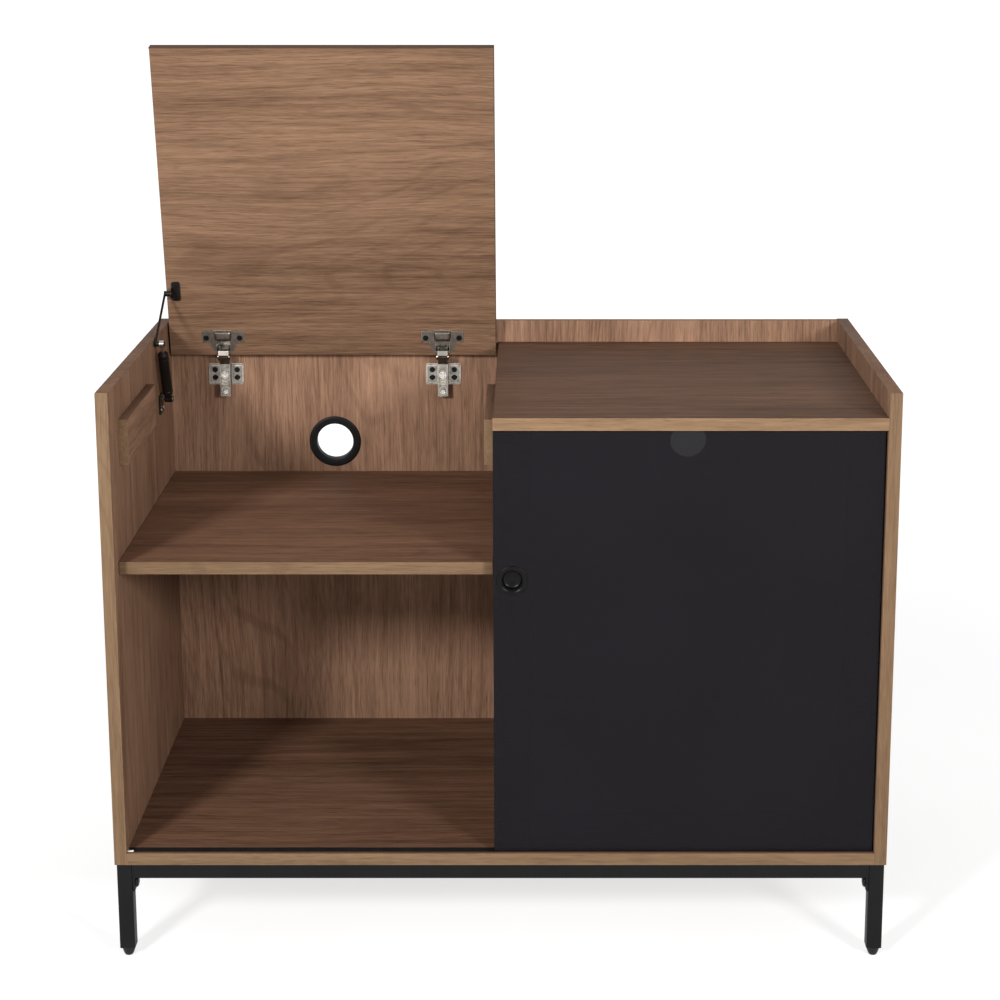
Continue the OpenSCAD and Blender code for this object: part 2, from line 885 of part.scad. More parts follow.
// Damper barrel with its lower eye
module stay_barrel() {
    color("black") on_barrel() difference() {
        union() {
            rotate_extrude() polygon([
                [0, barrel_start],
                [barrel_r - 1.5, barrel_start],
                [barrel_r, barrel_start + 1.5],
                [barrel_r, barrel_end - 2.5],
                [barrel_r - 1.2, barrel_end],
                [0, barrel_end]
            ]);
            bar_x(stay_eye_r, -5, 5);
            span([-5, -stay_eye_r, 0], [5, stay_eye_r, barrel_start]);
        }
        bar_x(stay_pin_r + stay_fit, -6, 6);
        bar_z(rod_r, barrel_end - 14, barrel_end + cut);
    }
}

// Plated rod with the eye of the elbow
module stay_rod() {
    color("silver") on_barrel() difference() {
        union() {
            bar_z(rod_r, barrel_end - 14, barrel_len);
            translate([0, 0, barrel_len]) bar_x(stay_eye_r, -3, 3);
        }
        translate([0, 0, barrel_len]) bar_x(stay_pin_r, -4, 4);
    }
}
module stay_elbow_pin() {
    color("silver") translate([0, elbow_y, elbow_z]) {
        bar_x(stay_pin_r, arm_x0 - 0.4, stay_x + 3);
        bar_x(stay_pin_r + 1.6, stay_x + 3, stay_x + 4.4);
        bar_x(stay_pin_r + 1.6, arm_x0 + arm_t + 0.3, stay_x - 3);
    }
}

// Flat arm from the elbow up to the lid stud
module stay_arm() {
    color("dimgray") translate([0, elbow_y, elbow_z]) rotate([arm_tilt, 0, 0]) difference() {
        along_x(arm_x0, arm_x0 + arm_t) {
            translate([0, -arm_strip_w / 2]) square([arm_len, arm_strip_w]);
            circle(r = arm_eye_r);
            translate([arm_len, 0]) circle(r = arm_eye_r);
        }
        bar_x(stay_pin_r + elbow_play, arm_x0 - cut, arm_x0 + arm_t + cut);
        translate([0, arm_len, 0]) bar_x(stay_pin_r + stay_fit, arm_x0 - cut, arm_x0 + arm_t + cut);
    }
}

module stay_lid_screw_shanks() {
    for (s = [-1, 1]) {
        translate([lid_plate_x + lid_plate_w / 2, stud_y + s * lid_screw_ds, 0])
            bar_z(stay_screw_r, z_under - lid_plate_t - cut, z_under + stay_screw_len);
    }
}
// Plate on the lid's inner face with an ear that holds the stud
module stay_lid_bracket() {
    color("dimgray") lid_opened() difference() {
        union() {
            translate([lid_plate_x + lid_plate_w / 2, stud_y, z_under - lid_plate_t])
                linear_extrude(height = lid_plate_t) round_rect(lid_plate_w, lid_plate_len, 3);
            span([lid_plate_x, stud_y - ear_w / 2, stud_z],
                 [lid_plate_x + ear_t, stud_y + ear_w / 2, z_under]);
            translate([0, stud_y, stud_z]) bar_x(ear_w / 2, lid_plate_x, lid_plate_x + ear_t);
        }
        stay_lid_screw_shanks();
        translate([0, stud_y, stud_z]) bar_x(stay_pin_r, lid_plate_x - cut, lid_plate_x + ear_t + cut);
    }
}
module stay_lid_stud() {
    color("silver") lid_opened() translate([0, stud_y, stud_z]) {
        bar_x(stay_pin_r, arm_x0 - 0.4, lid_plate_x + ear_t);
        bar_x(stay_pin_r + 1.8, arm_x0 + arm_t + 0.3, lid_plate_x);
        bar_x(stay_pin_r + 1.2, lid_plate_x + ear_t, lid_plate_x + ear_t + 1.2);
    }
}
module stay_lid_screws() {
    color("silver") lid_opened() for (s = [-1, 1]) {
        translate([lid_plate_x + lid_plate_w / 2, stud_y + s * lid_screw_ds, z_under - lid_plate_t])
            rotate([180, 0, 0]) cross_screw(stay_screw_r, lid_plate_t + stay_screw_len,
                                            stay_screw_head_r, stay_screw_head_h);
    }
}

// ---------- sliding door ----------

// Round hole for the finger pull
module pull_hole() {
    translate([pull_x, 0, pull_z]) bar_y(pull_body_r, door_front_y - cut, door_back_y + cut);
}
module door_pane() {
    color([0.12, 0.12, 0.14, 0.6]) difference() {
        span([door_x0, door_front_y, door_z0], [door_x1, strip_y, door_z1]);
        pull_hole();
    }
}
module door_stile_left() {
    color([0.05, 0.05, 0.06]) difference() {
        span([door_x0, strip_y, door_z0], [door_x0 + stile_w, door_back_y, door_z1]);
        pull_hole();
    }
}
module door_stile_right() {
    color([0.05, 0.05, 0.06]) difference() {
        span([door_x1 - stile_w, strip_y, door_z0], [door_x1, door_back_y, door_z1]);
        translate([guide_x, guide_y, 0]) bar_z(guide_r, door_z1 - guide_in, door_z1 + cut);
    }
}
module door_bottom_strip() {
    color([0.05, 0.05, 0.06])
        span([door_x0 + stile_w, strip_y, door_z0], [door_x1 - stile_w, door_back_y, z_floor + rail_top]);
}

// Round recessed pull: a rim in front of the pane, a dished ring and a blind cup
module finger_pull() {
    depth = door_back_y - door_front_y - 0.7;
    color("black") translate([pull_x, door_front_y, pull_z]) rotate([-90, 0, 0])
        rotate_extrude($fn = 72) polygon([
        [0, depth],
        [pull_body_r, depth],
        [pull_body_r, 0],
        [pull_r, 0],
        [pull_r - 0.5, -pull_proud + 0.3],
        [pull_r - 1.3, -pull_proud],
        [pull_dish_r, -pull_proud],
        [pull_cup_r, pull_dish_depth - pull_proud],
        [pull_cup_r, depth - pull_floor],
        [0, depth - pull_floor]
    ]);
}

// Nylon pin that keeps the door's top corner in the groove of the fixed top
module door_top_guide() {
    color("ivory") translate([guide_x, guide_y, 0]) bar_z(guide_r, door_z1 - guide_in, door_z1 + guide_rise);
}

// Nylon pads on the door's bottom edge
module door_pads() {
    z0 = z_floor - groove_depth + pad_gap;
    color("ivory") for (x = [door_x0 + 10, door_x1 - 10 - pad_len]) {
        span([x, door_front_y + 1, z0], [x + pad_len, door_back_y - 1, door_z0]);
    }
}

// Small stop at the left end of the floor groove
module door_stop() {
    color("ivory") span([-x_in, groove_y0, z_floor - groove_depth],
                        [-x_in + stop_len, groove_y0 + stop_t, z_floor + stop_top]);
}

side_panel_left();
side_panel_right();
bottom_panel();
top_panel();
divider();
back_panel();
shelf_left();
shelf_right_upper();
shelf_right_lower();
shelf_pins();
dowels();
lid_batten_left();
lid_batten_right();
cable_grommet_left();
cable_grommet_right();
leg_front_left();
leg_front_right();
leg_rear_left();
leg_rear_right();
rail_front();
rail_rear();
rail_left();
rail_right();
rail_end_plates();
foot_glides();
leg_bolts();
base_screws();
hinge_plates();
hinge_arms();
hinge_plate_screws();
hinge_arm_screws();
stay_side_bracket();
stay_side_pin();
stay_side_screws();
door_stop();
lid_panel();
hinge_cups();
hinge_link_covers();
hinge_pins();
hinge_cup_screws();
stay_lid_bracket();
stay_lid_stud();
stay_lid_screws();
stay_barrel();
stay_rod();
stay_elbow_pin();
stay_arm();
door_pane();
door_stile_left();
door_stile_right();
door_bottom_strip();
finger_pull();
door_top_guide();
door_pads();
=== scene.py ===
"""Looks for the two-bay media cabinet: camera, studio, materials and the finer pieces."""

import json
import math

import bmesh
import bpy
from mathutils import Matrix, Vector


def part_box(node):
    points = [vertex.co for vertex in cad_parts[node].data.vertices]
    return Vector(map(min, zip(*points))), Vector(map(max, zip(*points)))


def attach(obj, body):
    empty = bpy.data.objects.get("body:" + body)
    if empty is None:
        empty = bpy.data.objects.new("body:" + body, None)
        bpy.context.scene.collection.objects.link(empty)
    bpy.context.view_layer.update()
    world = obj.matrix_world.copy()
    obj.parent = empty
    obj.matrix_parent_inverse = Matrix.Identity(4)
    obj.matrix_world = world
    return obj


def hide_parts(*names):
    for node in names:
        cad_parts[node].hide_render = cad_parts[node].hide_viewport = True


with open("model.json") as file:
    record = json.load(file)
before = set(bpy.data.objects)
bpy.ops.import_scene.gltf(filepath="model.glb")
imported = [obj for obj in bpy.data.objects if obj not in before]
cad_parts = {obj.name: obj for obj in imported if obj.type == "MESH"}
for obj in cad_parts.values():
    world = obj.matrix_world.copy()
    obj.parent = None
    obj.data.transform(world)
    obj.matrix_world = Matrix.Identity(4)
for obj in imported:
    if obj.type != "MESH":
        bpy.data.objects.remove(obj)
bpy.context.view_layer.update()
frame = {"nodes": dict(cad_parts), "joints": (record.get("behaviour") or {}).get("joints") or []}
NODES = frame["nodes"]
JOINTS = {j["name"]: j for j in frame["joints"]}

HINGE = Vector(JOINTS["lid_hinge"]["pos_m"])
OPEN = math.radians(JOINTS["lid_hinge"]["range_deg"][1])
# From the closed lid's coordinates to where the open lid is drawn
LID = Matrix.Translation(HINGE) @ Matrix.Rotation(-OPEN, 4, "X") @ Matrix.Translation(-HINGE)
AXES = {"X": Vector((1, 0, 0)), "Y": Vector((0, 1, 0)), "Z": Vector((0, 0, 1))}
QUARTER_TURN = math.radians(90)

# Sizes are in metres throughout
ON_AXIS = 1e-7  # a radius below this is a point on the axis
TOUCH = 0.00001  # nearer than this, two CAD points are one and a face lies on a groove's box
SAME_POINT = 0.000001  # nearer than this, two points of a drawn mesh are one
SMOOTH = 35  # an edge that bends by fewer degrees is shaded smooth
CREASE = 40  # an edge that bends by more degrees is rounded off
REACH = 0.01  # how far a cutter stands out past its board


# ---------------------------------------------------------------- node helper


class Net:
    """A material with a Principled shader and short names for the nodes it uses."""

    def __init__(self, name):
        self.mat = bpy.data.materials.new(name)
        self.mat.use_nodes = True
        self.tree = self.mat.node_tree
        self.tree.nodes.clear()
        out = self.tree.nodes.new("ShaderNodeOutputMaterial")
        self.bsdf = self.tree.nodes.new("ShaderNodeBsdfPrincipled")
        self.tree.links.new(self.bsdf.outputs[0], out.inputs["Surface"])
        self.pos = self.tree.nodes.new("ShaderNodeTexCoord").outputs["Object"]

    def put(self, socket, value):
        if isinstance(value, bpy.types.NodeSocket):
            self.tree.links.new(value, socket)
        else:
            socket.default_value = value

    def shader(self, **values):
        for name, value in values.items():
            self.put(self.bsdf.inputs[name.replace("_", " ")], value)

    def math(self, op, a, b=0.5, c=0.5):
        node = self.tree.nodes.new("ShaderNodeMath")
        node.operation = op
        for i, value in enumerate((a, b, c)):
            self.put(node.inputs[i], value)
        return node.outputs[0]

    def vmath(self, op, a, b=(0, 0, 0), out="Vector"):
        node = self.tree.nodes.new("ShaderNodeVectorMath")
        node.operation = op
        self.put(node.inputs[0], a)
        self.put(node.inputs[1], b)
        return node.outputs[out]

    def split(self, vector):
        node = self.tree.nodes.new("ShaderNodeSeparateXYZ")
        self.put(node.inputs[0], vector)
        return node.outputs

    def join(self, x, y, z):
        node = self.tree.nodes.new("ShaderNodeCombineXYZ")
        for i, value in enumerate((x, y, z)):
            self.put(node.inputs[i], value)
        return node.outputs[0]

    def noise(self, vector, scale=1.0, detail=2.0, rough=0.5):
        node = self.tree.nodes.new("ShaderNodeTexNoise")
        for name, v in (("Vector", vector), ("Scale", scale), ("Detail", detail), ("Roughness", rough)):
            self.put(node.inputs[name], v)
        return node.outputs[0]

    def remap(self, value, lo, hi, to_lo=0.0, to_hi=1.0, smooth=False):
        node = self.tree.nodes.new("ShaderNodeMapRange")
        node.interpolation_type = "SMOOTHSTEP" if smooth else "LINEAR"
        values = {"Value": value, "From Min": lo, "From Max": hi, "To Min": to_lo, "To Max": to_hi}
        for name, v in values.items():
            self.put(node.inputs[name], v)
        return node.outputs[0]

    def ramp(self, fac, stops):
        node = self.tree.nodes.new("ShaderNodeValToRGB")
        ramp = node.color_ramp
        while len(ramp.elements) < len(stops):
            ramp.elements.new(0.5)
        for element, (at, colour) in zip(ramp.elements, stops):
            element.position = at
            element.color = (*colour, 1)
        self.put(node.inputs[0], fac)
        return node.outputs[0]

    def mix(self, fac, a, b):
        node = self.tree.nodes.new("ShaderNodeMix")
        node.data_type = "RGBA"
        node.clamp_factor = True
        self.put(node.inputs[0], fac)
        for socket, value in ((node.inputs[6], a), (node.inputs[7], b)):
            self.put(socket, (*value, 1) if isinstance(value, tuple) and len(value) == 3 else value)
        return node.outputs[2]

    def bump(self, height, strength, distance):
        node = self.tree.nodes.new("ShaderNodeBump")
        node.inputs["Strength"].default_value = strength
        node.inputs["Distance"].default_value = distance
        self.put(node.inputs["Height"], height)
        self.tree.links.new(node.outputs[0], self.bsdf.inputs["Normal"])

    def painted_highlight_edges(self, radius):
        """1 on sharp edges, 0 on flat faces: the mask for a painted highlight along the edges."""
        soft = self.tree.nodes.new("ShaderNodeBevel")
        soft.samples = 6
        soft.inputs["Radius"].default_value = radius
        flat = self.tree.nodes.new("ShaderNodeNewGeometry")
        bend = self.vmath("DOT_PRODUCT", soft.outputs[0], flat.outputs["Normal"], "Value")
        return self.remap(bend, 0.99, 0.86)

    def edge_distance(self, lo, hi):
        """How far a surface point of the box lo..hi is from the nearest of its edges.

        Of the three distances to the box's faces, the smallest is 0 on its surface, so the middle one counts.
        """
        axes = []
        for i, at in enumerate(self.split(self.pos)):
            from_lo = self.math("SUBTRACT", at, lo[i])
            from_hi = self.math("SUBTRACT", hi[i], at)
            axes.append(self.math("MINIMUM", from_lo, from_hi))
        low = self.math("MINIMUM", axes[0], axes[1])
        high = self.math("MAXIMUM", axes[0], axes[1])
        return self.math("MAXIMUM", low, self.math("MINIMUM", high, axes[2]))

    def centred(self, value):
        """Takes the mid value 0.5 of a noise down to 0."""
        return self.math("SUBTRACT", value, 0.5)

    def worn(self, lo, hi, near, far, patches, clear, full):
        """Patchy wear along the edges of the box lo..hi: strongest nearer than near, none beyond far."""
        close = self.remap(self.edge_distance(lo, hi), near, far, 1.0, 0.0, True)
        return self.math("MULTIPLY", close, self.remap(self.noise(self.pos, *patches), clear, full))


def linear(r, g, b):
    """A display colour, 0 to 255, as linear light."""
    return tuple((c / 255 / 12.92) if c <= 10 else ((c / 255 + 0.055) / 1.055) ** 2.4 for c in (r, g, b))


def scaled(colour, k):
    """A lighter or darker colour."""
    return tuple(min(1.0, c * k) for c in colour)


# ---------------------------------------------------------------- materials

# A noise is given as spots to the metre, detail and roughness. Colours are multiples of the piece's own.
GRAIN_ORDER = {"X": (0, 1, 2), "Y": (1, 0, 2), "Z": (2, 0, 1)}


def wood(name, grain, seed, mid, contrast=1.0, lo=None, hi=None, band=False):
    """Printed walnut laminate: streaks along the grain, fine fibres and short dark pores.

    mid is its middle colour and lo..hi the board's box, for the wear along its edges. A band is smoother.
    """
    n = Net(name)
    xyz = n.split(n.pos)
    along, across, through = (xyz[i] for i in GRAIN_ORDER[grain])
    # Each seed cuts the board from its own place in the pattern
    shift = (0.37 * seed + 0.11, 0.83 * seed + 0.29, 0.59 * seed + 0.47)
    along = n.math("ADD", along, shift[0])
    across = n.math("ADD", across, shift[1])
    through = n.math("ADD", through, shift[2])

    def streaks(a, b, detail, rough):
        """Noise with a spots to the metre along the grain and b to the metre across it."""
        return n.noise(n.join(n.math("MULTIPLY", along, a), n.math("MULTIPLY", across, b),
                              n.math("MULTIPLY", through, b)), 1.0, detail, rough)

    # The grain wanders: the streaks are read across a bent line, the rings across a straight one
    bend = n.math("MULTIPLY", n.centred(streaks(1.3, 3.4, 2, 0.5)), 0.05)
    straight = across
    across = n.math("ADD", across, bend)
    broad = streaks(0.9, 15.0, 4, 0.55)
    mean = streaks(3.6, 90.0, 5, 0.65)
    line = streaks(9.0, 300.0, 4, 0.65)
    fibre = streaks(40.0, 800.0, 3, 0.6)
    blotch = streaks(2.2, 5.0, 2, 0.5)
    pore = n.remap(streaks(26.0, 520.0, 2, 0.5), 0.59, 0.67)
    # Growth rings cut at a slant: thin lines that run along the grain and arch over
    across = straight
    hill = n.centred(streaks(0.9, 3.6, 2, 0.4))
    wave = n.centred(streaks(6.0, 40.0, 2, 0.5))
    phase = n.math("ADD", n.math("MULTIPLY", straight, 260.0), n.math("MULTIPLY", hill, 150.0))
    ring = n.math("SINE", n.math("MULTIPLY_ADD", wave, 1.6, phase))
    crest = n.remap(ring, 0.70, 1.0, 0.0, 1.0, True)
    vein = n.math("MULTIPLY", crest, n.remap(streaks(1.6, 9.0, 3, 0.6), 0.42, 0.66))

    tone = 0.5
    for layer, weight in ((broad, 0.72), (mean, 0.80), (line, 0.80), (fibre, 0.70), (blotch, 0.28)):
        tone = n.math("MULTIPLY_ADD", n.centred(layer), weight * contrast, tone)
    r, g, b = mid
    colour = n.ramp(tone, [
        (0.12, (r * 0.42, g * 0.38, b * 0.36)),
        (0.36, (r * 0.76, g * 0.74, b * 0.73)),
        (0.52, mid),
        (0.70, (r * 1.24, g * 1.26, b * 1.28)),
        (0.92, (min(1, r * 1.55), min(1, g * 1.62), min(1, b * 1.68))),
    ])
    dark = (r * 0.40, g * 0.35, b * 0.33)
    colour = n.mix(n.math("MULTIPLY", vein, 0.30 * contrast), colour, dark)
    colour = n.mix(n.math("MULTIPLY", pore, 0.42 * contrast), colour, dark)
    rough = n.math("MULTIPLY_ADD", fibre, 0.2, 0.50)
    if lo is not None:
        worn = n.worn(lo, hi, 0.0003, 0.0016, (60.0, 3, 0.6), 0.42, 0.66)
        colour = n.mix(n.math("MULTIPLY", worn, 0.35), colour, (r * 1.7, g * 1.75, b * 1.75))
        rough = n.math("MULTIPLY_ADD", worn, 0.15, rough)
    height = n.math("SUBTRACT", n.math("MULTIPLY", fibre, 0.5), pore)
    n.bump(height, 0.2 if band else 0.35, 0.00012)
    n.shader(Base_Color=colour, Roughness=rough, Specular_IOR_Level=0.10)
    return n.mat


def raw_board(name, seed):
    """Pressed wood chips, where a board is cut or drilled."""
    n = Net(name)
    at = n.vmath("ADD", n.pos, (seed * 0.31, seed * 0.17, seed * 0.23))
    chips = n.noise(at, 520.0, 3, 0.7)
    big = n.noise(at, 150.0, 2, 0.6)
    colour = n.ramp(chips, [
        (0.3, linear(92, 66, 44)),
        (0.5, linear(150, 118, 84)),
        (0.7, linear(190, 160, 122)),
    ])
    colour = n.mix(n.remap(big, 0.55, 0.7, 0.0, 0.4), colour, linear(84, 58, 38))
    n.bump(chips, 0.5, 0.0003)
    n.shader(Base_Color=colour, Roughness=0.85)
    return n.mat


def painted_steel(name, colour, lo=None, hi=None, gloss=0.42):
    """Powder coat: a fine pebble, cloudy lighter patches and slight wear along the edges."""
    n = Net(name)
    pebble = n.noise(n.pos, 1300.0, 2, 0.5)
    cloud = n.noise(n.pos, 22.0, 4, 0.6)
    base = n.mix(n.remap(cloud, 0.35, 0.7), colour, scaled(colour, 1.5))
    rough = n.math("MULTIPLY_ADD", cloud, 0.16, gloss - 0.08)
    rough = n.math("MULTIPLY_ADD", pebble, 0.08, rough)
    if lo is not None:
        worn = n.worn(lo, hi, 0.0002, 0.0014, (95.0, 4, 0.65), 0.46, 0.68)
        base = n.mix(n.math("MULTIPLY", worn, 0.6), base, scaled(colour, 5.0))
    n.bump(pebble, 0.28, 0.00006)
    n.shader(Base_Color=base, Roughness=rough, Specular_IOR_Level=0.15)
    return n.mat


def plated(name, colour, rough=0.27, brushed="Z"):
    """Nickel or chrome plate over pressed steel: faint draw lines, cloudy gloss and a painted highlight along
    the sharp edges.
    """
    n = Net(name)
    xyz = n.split(n.pos)
    # Long marks along the direction it was drawn in, fine ones across it
    drawn = [n.math("MULTIPLY", xyz[i], k) for i, k in zip(GRAIN_ORDER[brushed], (60.0, 2600.0, 2600.0))]
    lines = n.noise(n.join(*drawn), 1.0, 3, 0.6)
    cloud = n.noise(n.pos, 160.0, 3, 0.6)
    spots = n.remap(n.noise(n.pos, 900.0, 2, 0.5), 0.68, 0.76)
    base = n.mix(n.remap(cloud, 0.35, 0.7), colour, scaled(colour, 0.5))
    base = n.mix(n.math("MULTIPLY", spots, 0.35), base, scaled(colour, 0.35))
    # Painted highlight: sharp edges are drawn lighter, towards 2.2 times the plate's colour
    base = n.mix(n.math("MULTIPLY", n.painted_highlight_edges(0.0013), 0.9), base, scaled(colour, 2.2))
    gloss = n.math("MULTIPLY_ADD", cloud, 0.18, rough - 0.09)
    gloss = n.math("MULTIPLY_ADD", lines, 0.12, gloss)
    n.bump(lines, 0.12, 0.00003)
    n.shader(Base_Color=base, Metallic=1.0, Roughness=gloss)
    return n.mat


def moulded(name, colour, rough=0.5, grain=1500.0, spec=0.45):
    """Injection-moulded plastic: a fine matt texture and uneven gloss."""
    n = Net(name)
    fine = n.noise(n.pos, grain, 2, 0.6)
    cloud = n.noise(n.pos, 70.0, 3, 0.6)
    base = n.mix(n.remap(cloud, 0.35, 0.7), colour, scaled(colour, 1.35))
    n.bump(fine, 0.3, 0.00005)
    uneven = n.math("MULTIPLY_ADD", cloud, 0.2, rough - 0.1)
    n.shader(Base_Color=base, Roughness=uneven, Specular_IOR_Level=spec)
    return n.mat


def smoked_pane(name, colour, opacity):
    """Smoked see-through sheet with a fine woven texture."""
    n = Net(name)
    xyz = n.split(n.pos)
    thread = 0.0016
    weave_x, weave_z = (n.math("SINE", n.math("MULTIPLY", xyz[i], 2 * math.pi / thread)) for i in (0, 2))
    weave = n.math("MULTIPLY", weave_x, weave_z)
    grain = n.noise(n.pos, 560.0, 3, 0.7)
    cloud = n.noise(n.pos, 5.0, 3, 0.55)
    tone = n.math("MULTIPLY_ADD", n.centred(grain), 1.6, 0.5)
    tone = n.math("MULTIPLY_ADD", weave, 0.08, tone)
    base = n.ramp(tone, [(0.2, scaled(colour, 0.55)), (0.5, colour), (0.8, scaled(colour, 1.7))])
    base = n.mix(n.remap(cloud, 0.35, 0.7, 0.0, 0.5), base, scaled(colour, 1.5))
    n.bump(n.math("ADD", n.math("MULTIPLY", weave, 0.5), grain), 0.12, 0.00004)
    n.shader(Base_Color=base, Roughness=n.math("MULTIPLY_ADD", cloud, 0.14, 0.38), Specular_IOR_Level=0.12,
             Alpha=n.math("MULTIPLY_ADD", grain, 0.08, opacity - 0.04))
    return n.mat


# ---------------------------------------------------------------- mesh helpers


def add_mesh(name, mesh, mats, smooth=None):
    """An object from a mesh. It is shaded smooth over edges that bend by fewer than smooth degrees."""
    obj = bpy.data.objects.new(name, mesh)
    bpy.context.scene.collection.objects.link(obj)
    for mat in mats:
        mesh.materials.append(mat)
    if smooth is not None:
        mesh.shade_smooth()
        mesh.set_sharp_from_angle(angle=math.radians(smooth))
    return obj


def box_into(bm, lo, hi, bevel=0.0, segments=2, mat=0):
    """Adds a box with rounded edges to bm."""
    part = bmesh.new()
    bmesh.ops.create_cube(part, size=1.0)
    size = [hi[i] - lo[i] for i in range(3)]
    mid = [(hi[i] + lo[i]) / 2 for i in range(3)]
    bmesh.ops.transform(part, matrix=Matrix.Translation(mid) @ Matrix.Diagonal((*size, 1)), verts=part.verts)
    if bevel:
        bmesh.ops.bevel(part, geom=list(part.edges), offset=bevel, segments=segments, profile=0.5,
                        affect="EDGES", clamp_overlap=True)
    for face in part.faces:
        face.material_index = mat
    merge_into(bm, part)


def merge_into(bm, part, matrix=None):
    """Moves what is in part over to bm, turned and placed by matrix."""
    if matrix is not None:
        part.transform(matrix)
    temp = bpy.data.meshes.new("temp")
    part.to_mesh(temp)
    part.free()
    bm.from_mesh(temp)
    bpy.data.meshes.remove(temp)


def quarter(steps):
    """The angles of a quarter turn in equal steps, without 0."""
    return [math.radians(90 * i / steps) for i in range(1, steps + 1)]


def circle(part, r, z, count):
    """A level circle of count new vertices about Z."""
    angles = [2 * math.pi * i / count for i in range(count)]
    return [part.verts.new((r * math.cos(a), r * math.sin(a), z)) for a in angles]


def lathe_into(bm, profile, steps, matrix):
    """Turns a closed outline of (radius, height) about Z and adds it to bm."""
    part = bmesh.new()
    rings = []
    for r, z in profile:
        rings.append([part.verts.new((0, 0, z))] if r < ON_AXIS else circle(part, r, z, steps))
    for k in range(len(rings)):
        a, b = rings[k], rings[(k + 1) % len(rings)]
        for i in range(steps):
            corners = [a[i % len(a)], a[(i + 1) % len(a)], b[(i + 1) % len(b)], b[i % len(b)]]
            unique = list(dict.fromkeys(corners))
            if len(unique) >= 3:
                part.faces.new(unique)
    bmesh.ops.recalc_face_normals(part, faces=part.faces)
    merge_into(bm, part, matrix)


def finish_mesh(name, bm, mats, smooth=SMOOTH):
    """An object from what was built in bm."""
    mesh = bpy.data.meshes.new(name)
    bm.to_mesh(mesh)
    bm.free()
    return add_mesh(name, mesh, mats, smooth)


def turned_to(direction):
    """The rotation that takes Z over to a direction."""
    return AXES["Z"].rotation_difference(direction).to_matrix().to_4x4()


def cylinder(lo, hi, axis, r, steps=64):
    """A cutter: a plain cylinder of radius r along an axis, from the point lo to the point hi."""
    bm = bmesh.new()
    bmesh.ops.create_cone(bm, cap_ends=True, segments=steps, radius1=r, radius2=r, depth=1.0)
    stretch = Matrix.Diagonal((1, 1, (hi - lo).length, 1))
    bm.transform(Matrix.Translation((lo + hi) / 2) @ turned_to(AXES[axis]) @ stretch)
    return finish_mesh("cutter", bm, [], smooth=None)


def block(lo, hi):
    """A cutter: a plain box."""
    bm = bmesh.new()
    box_into(bm, lo, hi)
    return finish_mesh("cutter", bm, [], smooth=None)


def cut(obj, cutters):
    """Cuts the cutters out of obj for good and removes them."""
    for c in cutters:
        mod = obj.modifiers.new("cut", "BOOLEAN")
        mod.operation = "DIFFERENCE"
        mod.solver = "EXACT"
        mod.object = c
    bpy.context.view_layer.update()
    done = bpy.data.meshes.new_from_object(obj.evaluated_get(bpy.context.evaluated_depsgraph_get()))
    old = obj.data
    obj.modifiers.clear()
    obj.data = done
    done.name = obj.name
    bpy.data.meshes.remove(old)
    for c in cutters:
        bpy.data.objects.remove(c, do_unlink=True)
    done.shade_smooth()
    done.set_sharp_from_angle(angle=math.radians(SMOOTH))
    return obj


def shaded_groove(obj, lo, hi):
    """Gives the faces of a cut groove lo..hi a near-black colour in place of the raw board: painted shade in
    the groove.
    """
    obj.data.materials.append(moulded(obj.name + "_groove_shade", BLACK_PLASTIC, 0.5, spec=0.2))
    for face in obj.data.polygons:
        if all(lo[i] - TOUCH <= face.center[i] <= hi[i] + TOUCH for i in range(3)):
            face.material_index = len(obj.data.materials) - 1
    return obj


def settle(obj, body, slot, *nodes):
    """obj stands for the CAD nodes, which it hides, and rides on a body. slot is not used."""
    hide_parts(*nodes)
    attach(obj, body)
    return obj


SOFT_EDGE = 0.0003  # how far a carried-over node's edges are rounded, and those of small screws
FINE_EDGE = 0.00015


def dress(node, mat, bevel=0.0):
    """A carried-over CAD node: its material and softened edges."""
    obj = NODES[node]
    obj.data.materials.clear()
    obj.data.materials.append(mat)
    if bevel:
        weld = obj.modifiers.new("weld", "WELD")
        weld.merge_threshold = TOUCH
        soft = obj.modifiers.new("edges", "BEVEL")
        soft.width = bevel
        soft.segments = 2
        soft.limit_method = "ANGLE"
        soft.angle_limit = math.radians(CREASE)
        soft.miter_outer = "MITER_ARC"
        even = obj.modifiers.new("shading", "WEIGHTED_NORMAL")
        even.keep_sharp = False


def middle(node):
    """The centre of a CAD node's box."""
    lo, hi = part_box(node)
    return (lo + hi) / 2


def moved(lo, hi, **ends):
    """The box lo..hi with some of its ends replaced: x0=, x1=, y0=, y1=, z0=, z1=."""
    lo, hi = list(lo), list(hi)
    for key, value in ends.items():
        (lo if key[1] == "0" else hi)["xyz".index(key[0])] = value
    return Vector(lo), Vector(hi)


# ---------------------------------------------------------------- colours

LID_WOOD = linear(107, 81, 62)
UPRIGHT_WOOD = linear(121, 92, 73)
LEVEL_WOOD = linear(97, 70, 54)
BAND_WOOD = linear(104, 82, 61)
BLACK_COAT = linear(10, 9, 9)
BLACK_PLASTIC = linear(16, 15, 15)
NICKEL = (0.40, 0.37, 0.325)

# ---------------------------------------------------------------- boards

BAND_T = 0.0009  # thickness of an edge band
CORE_EDGE = 0.00015  # how far the edges are rounded, on a board's core and on its bands
BAND_EDGE = 0.0003
GROMMETS = ("cable_grommet_left", "cable_grommet_right")


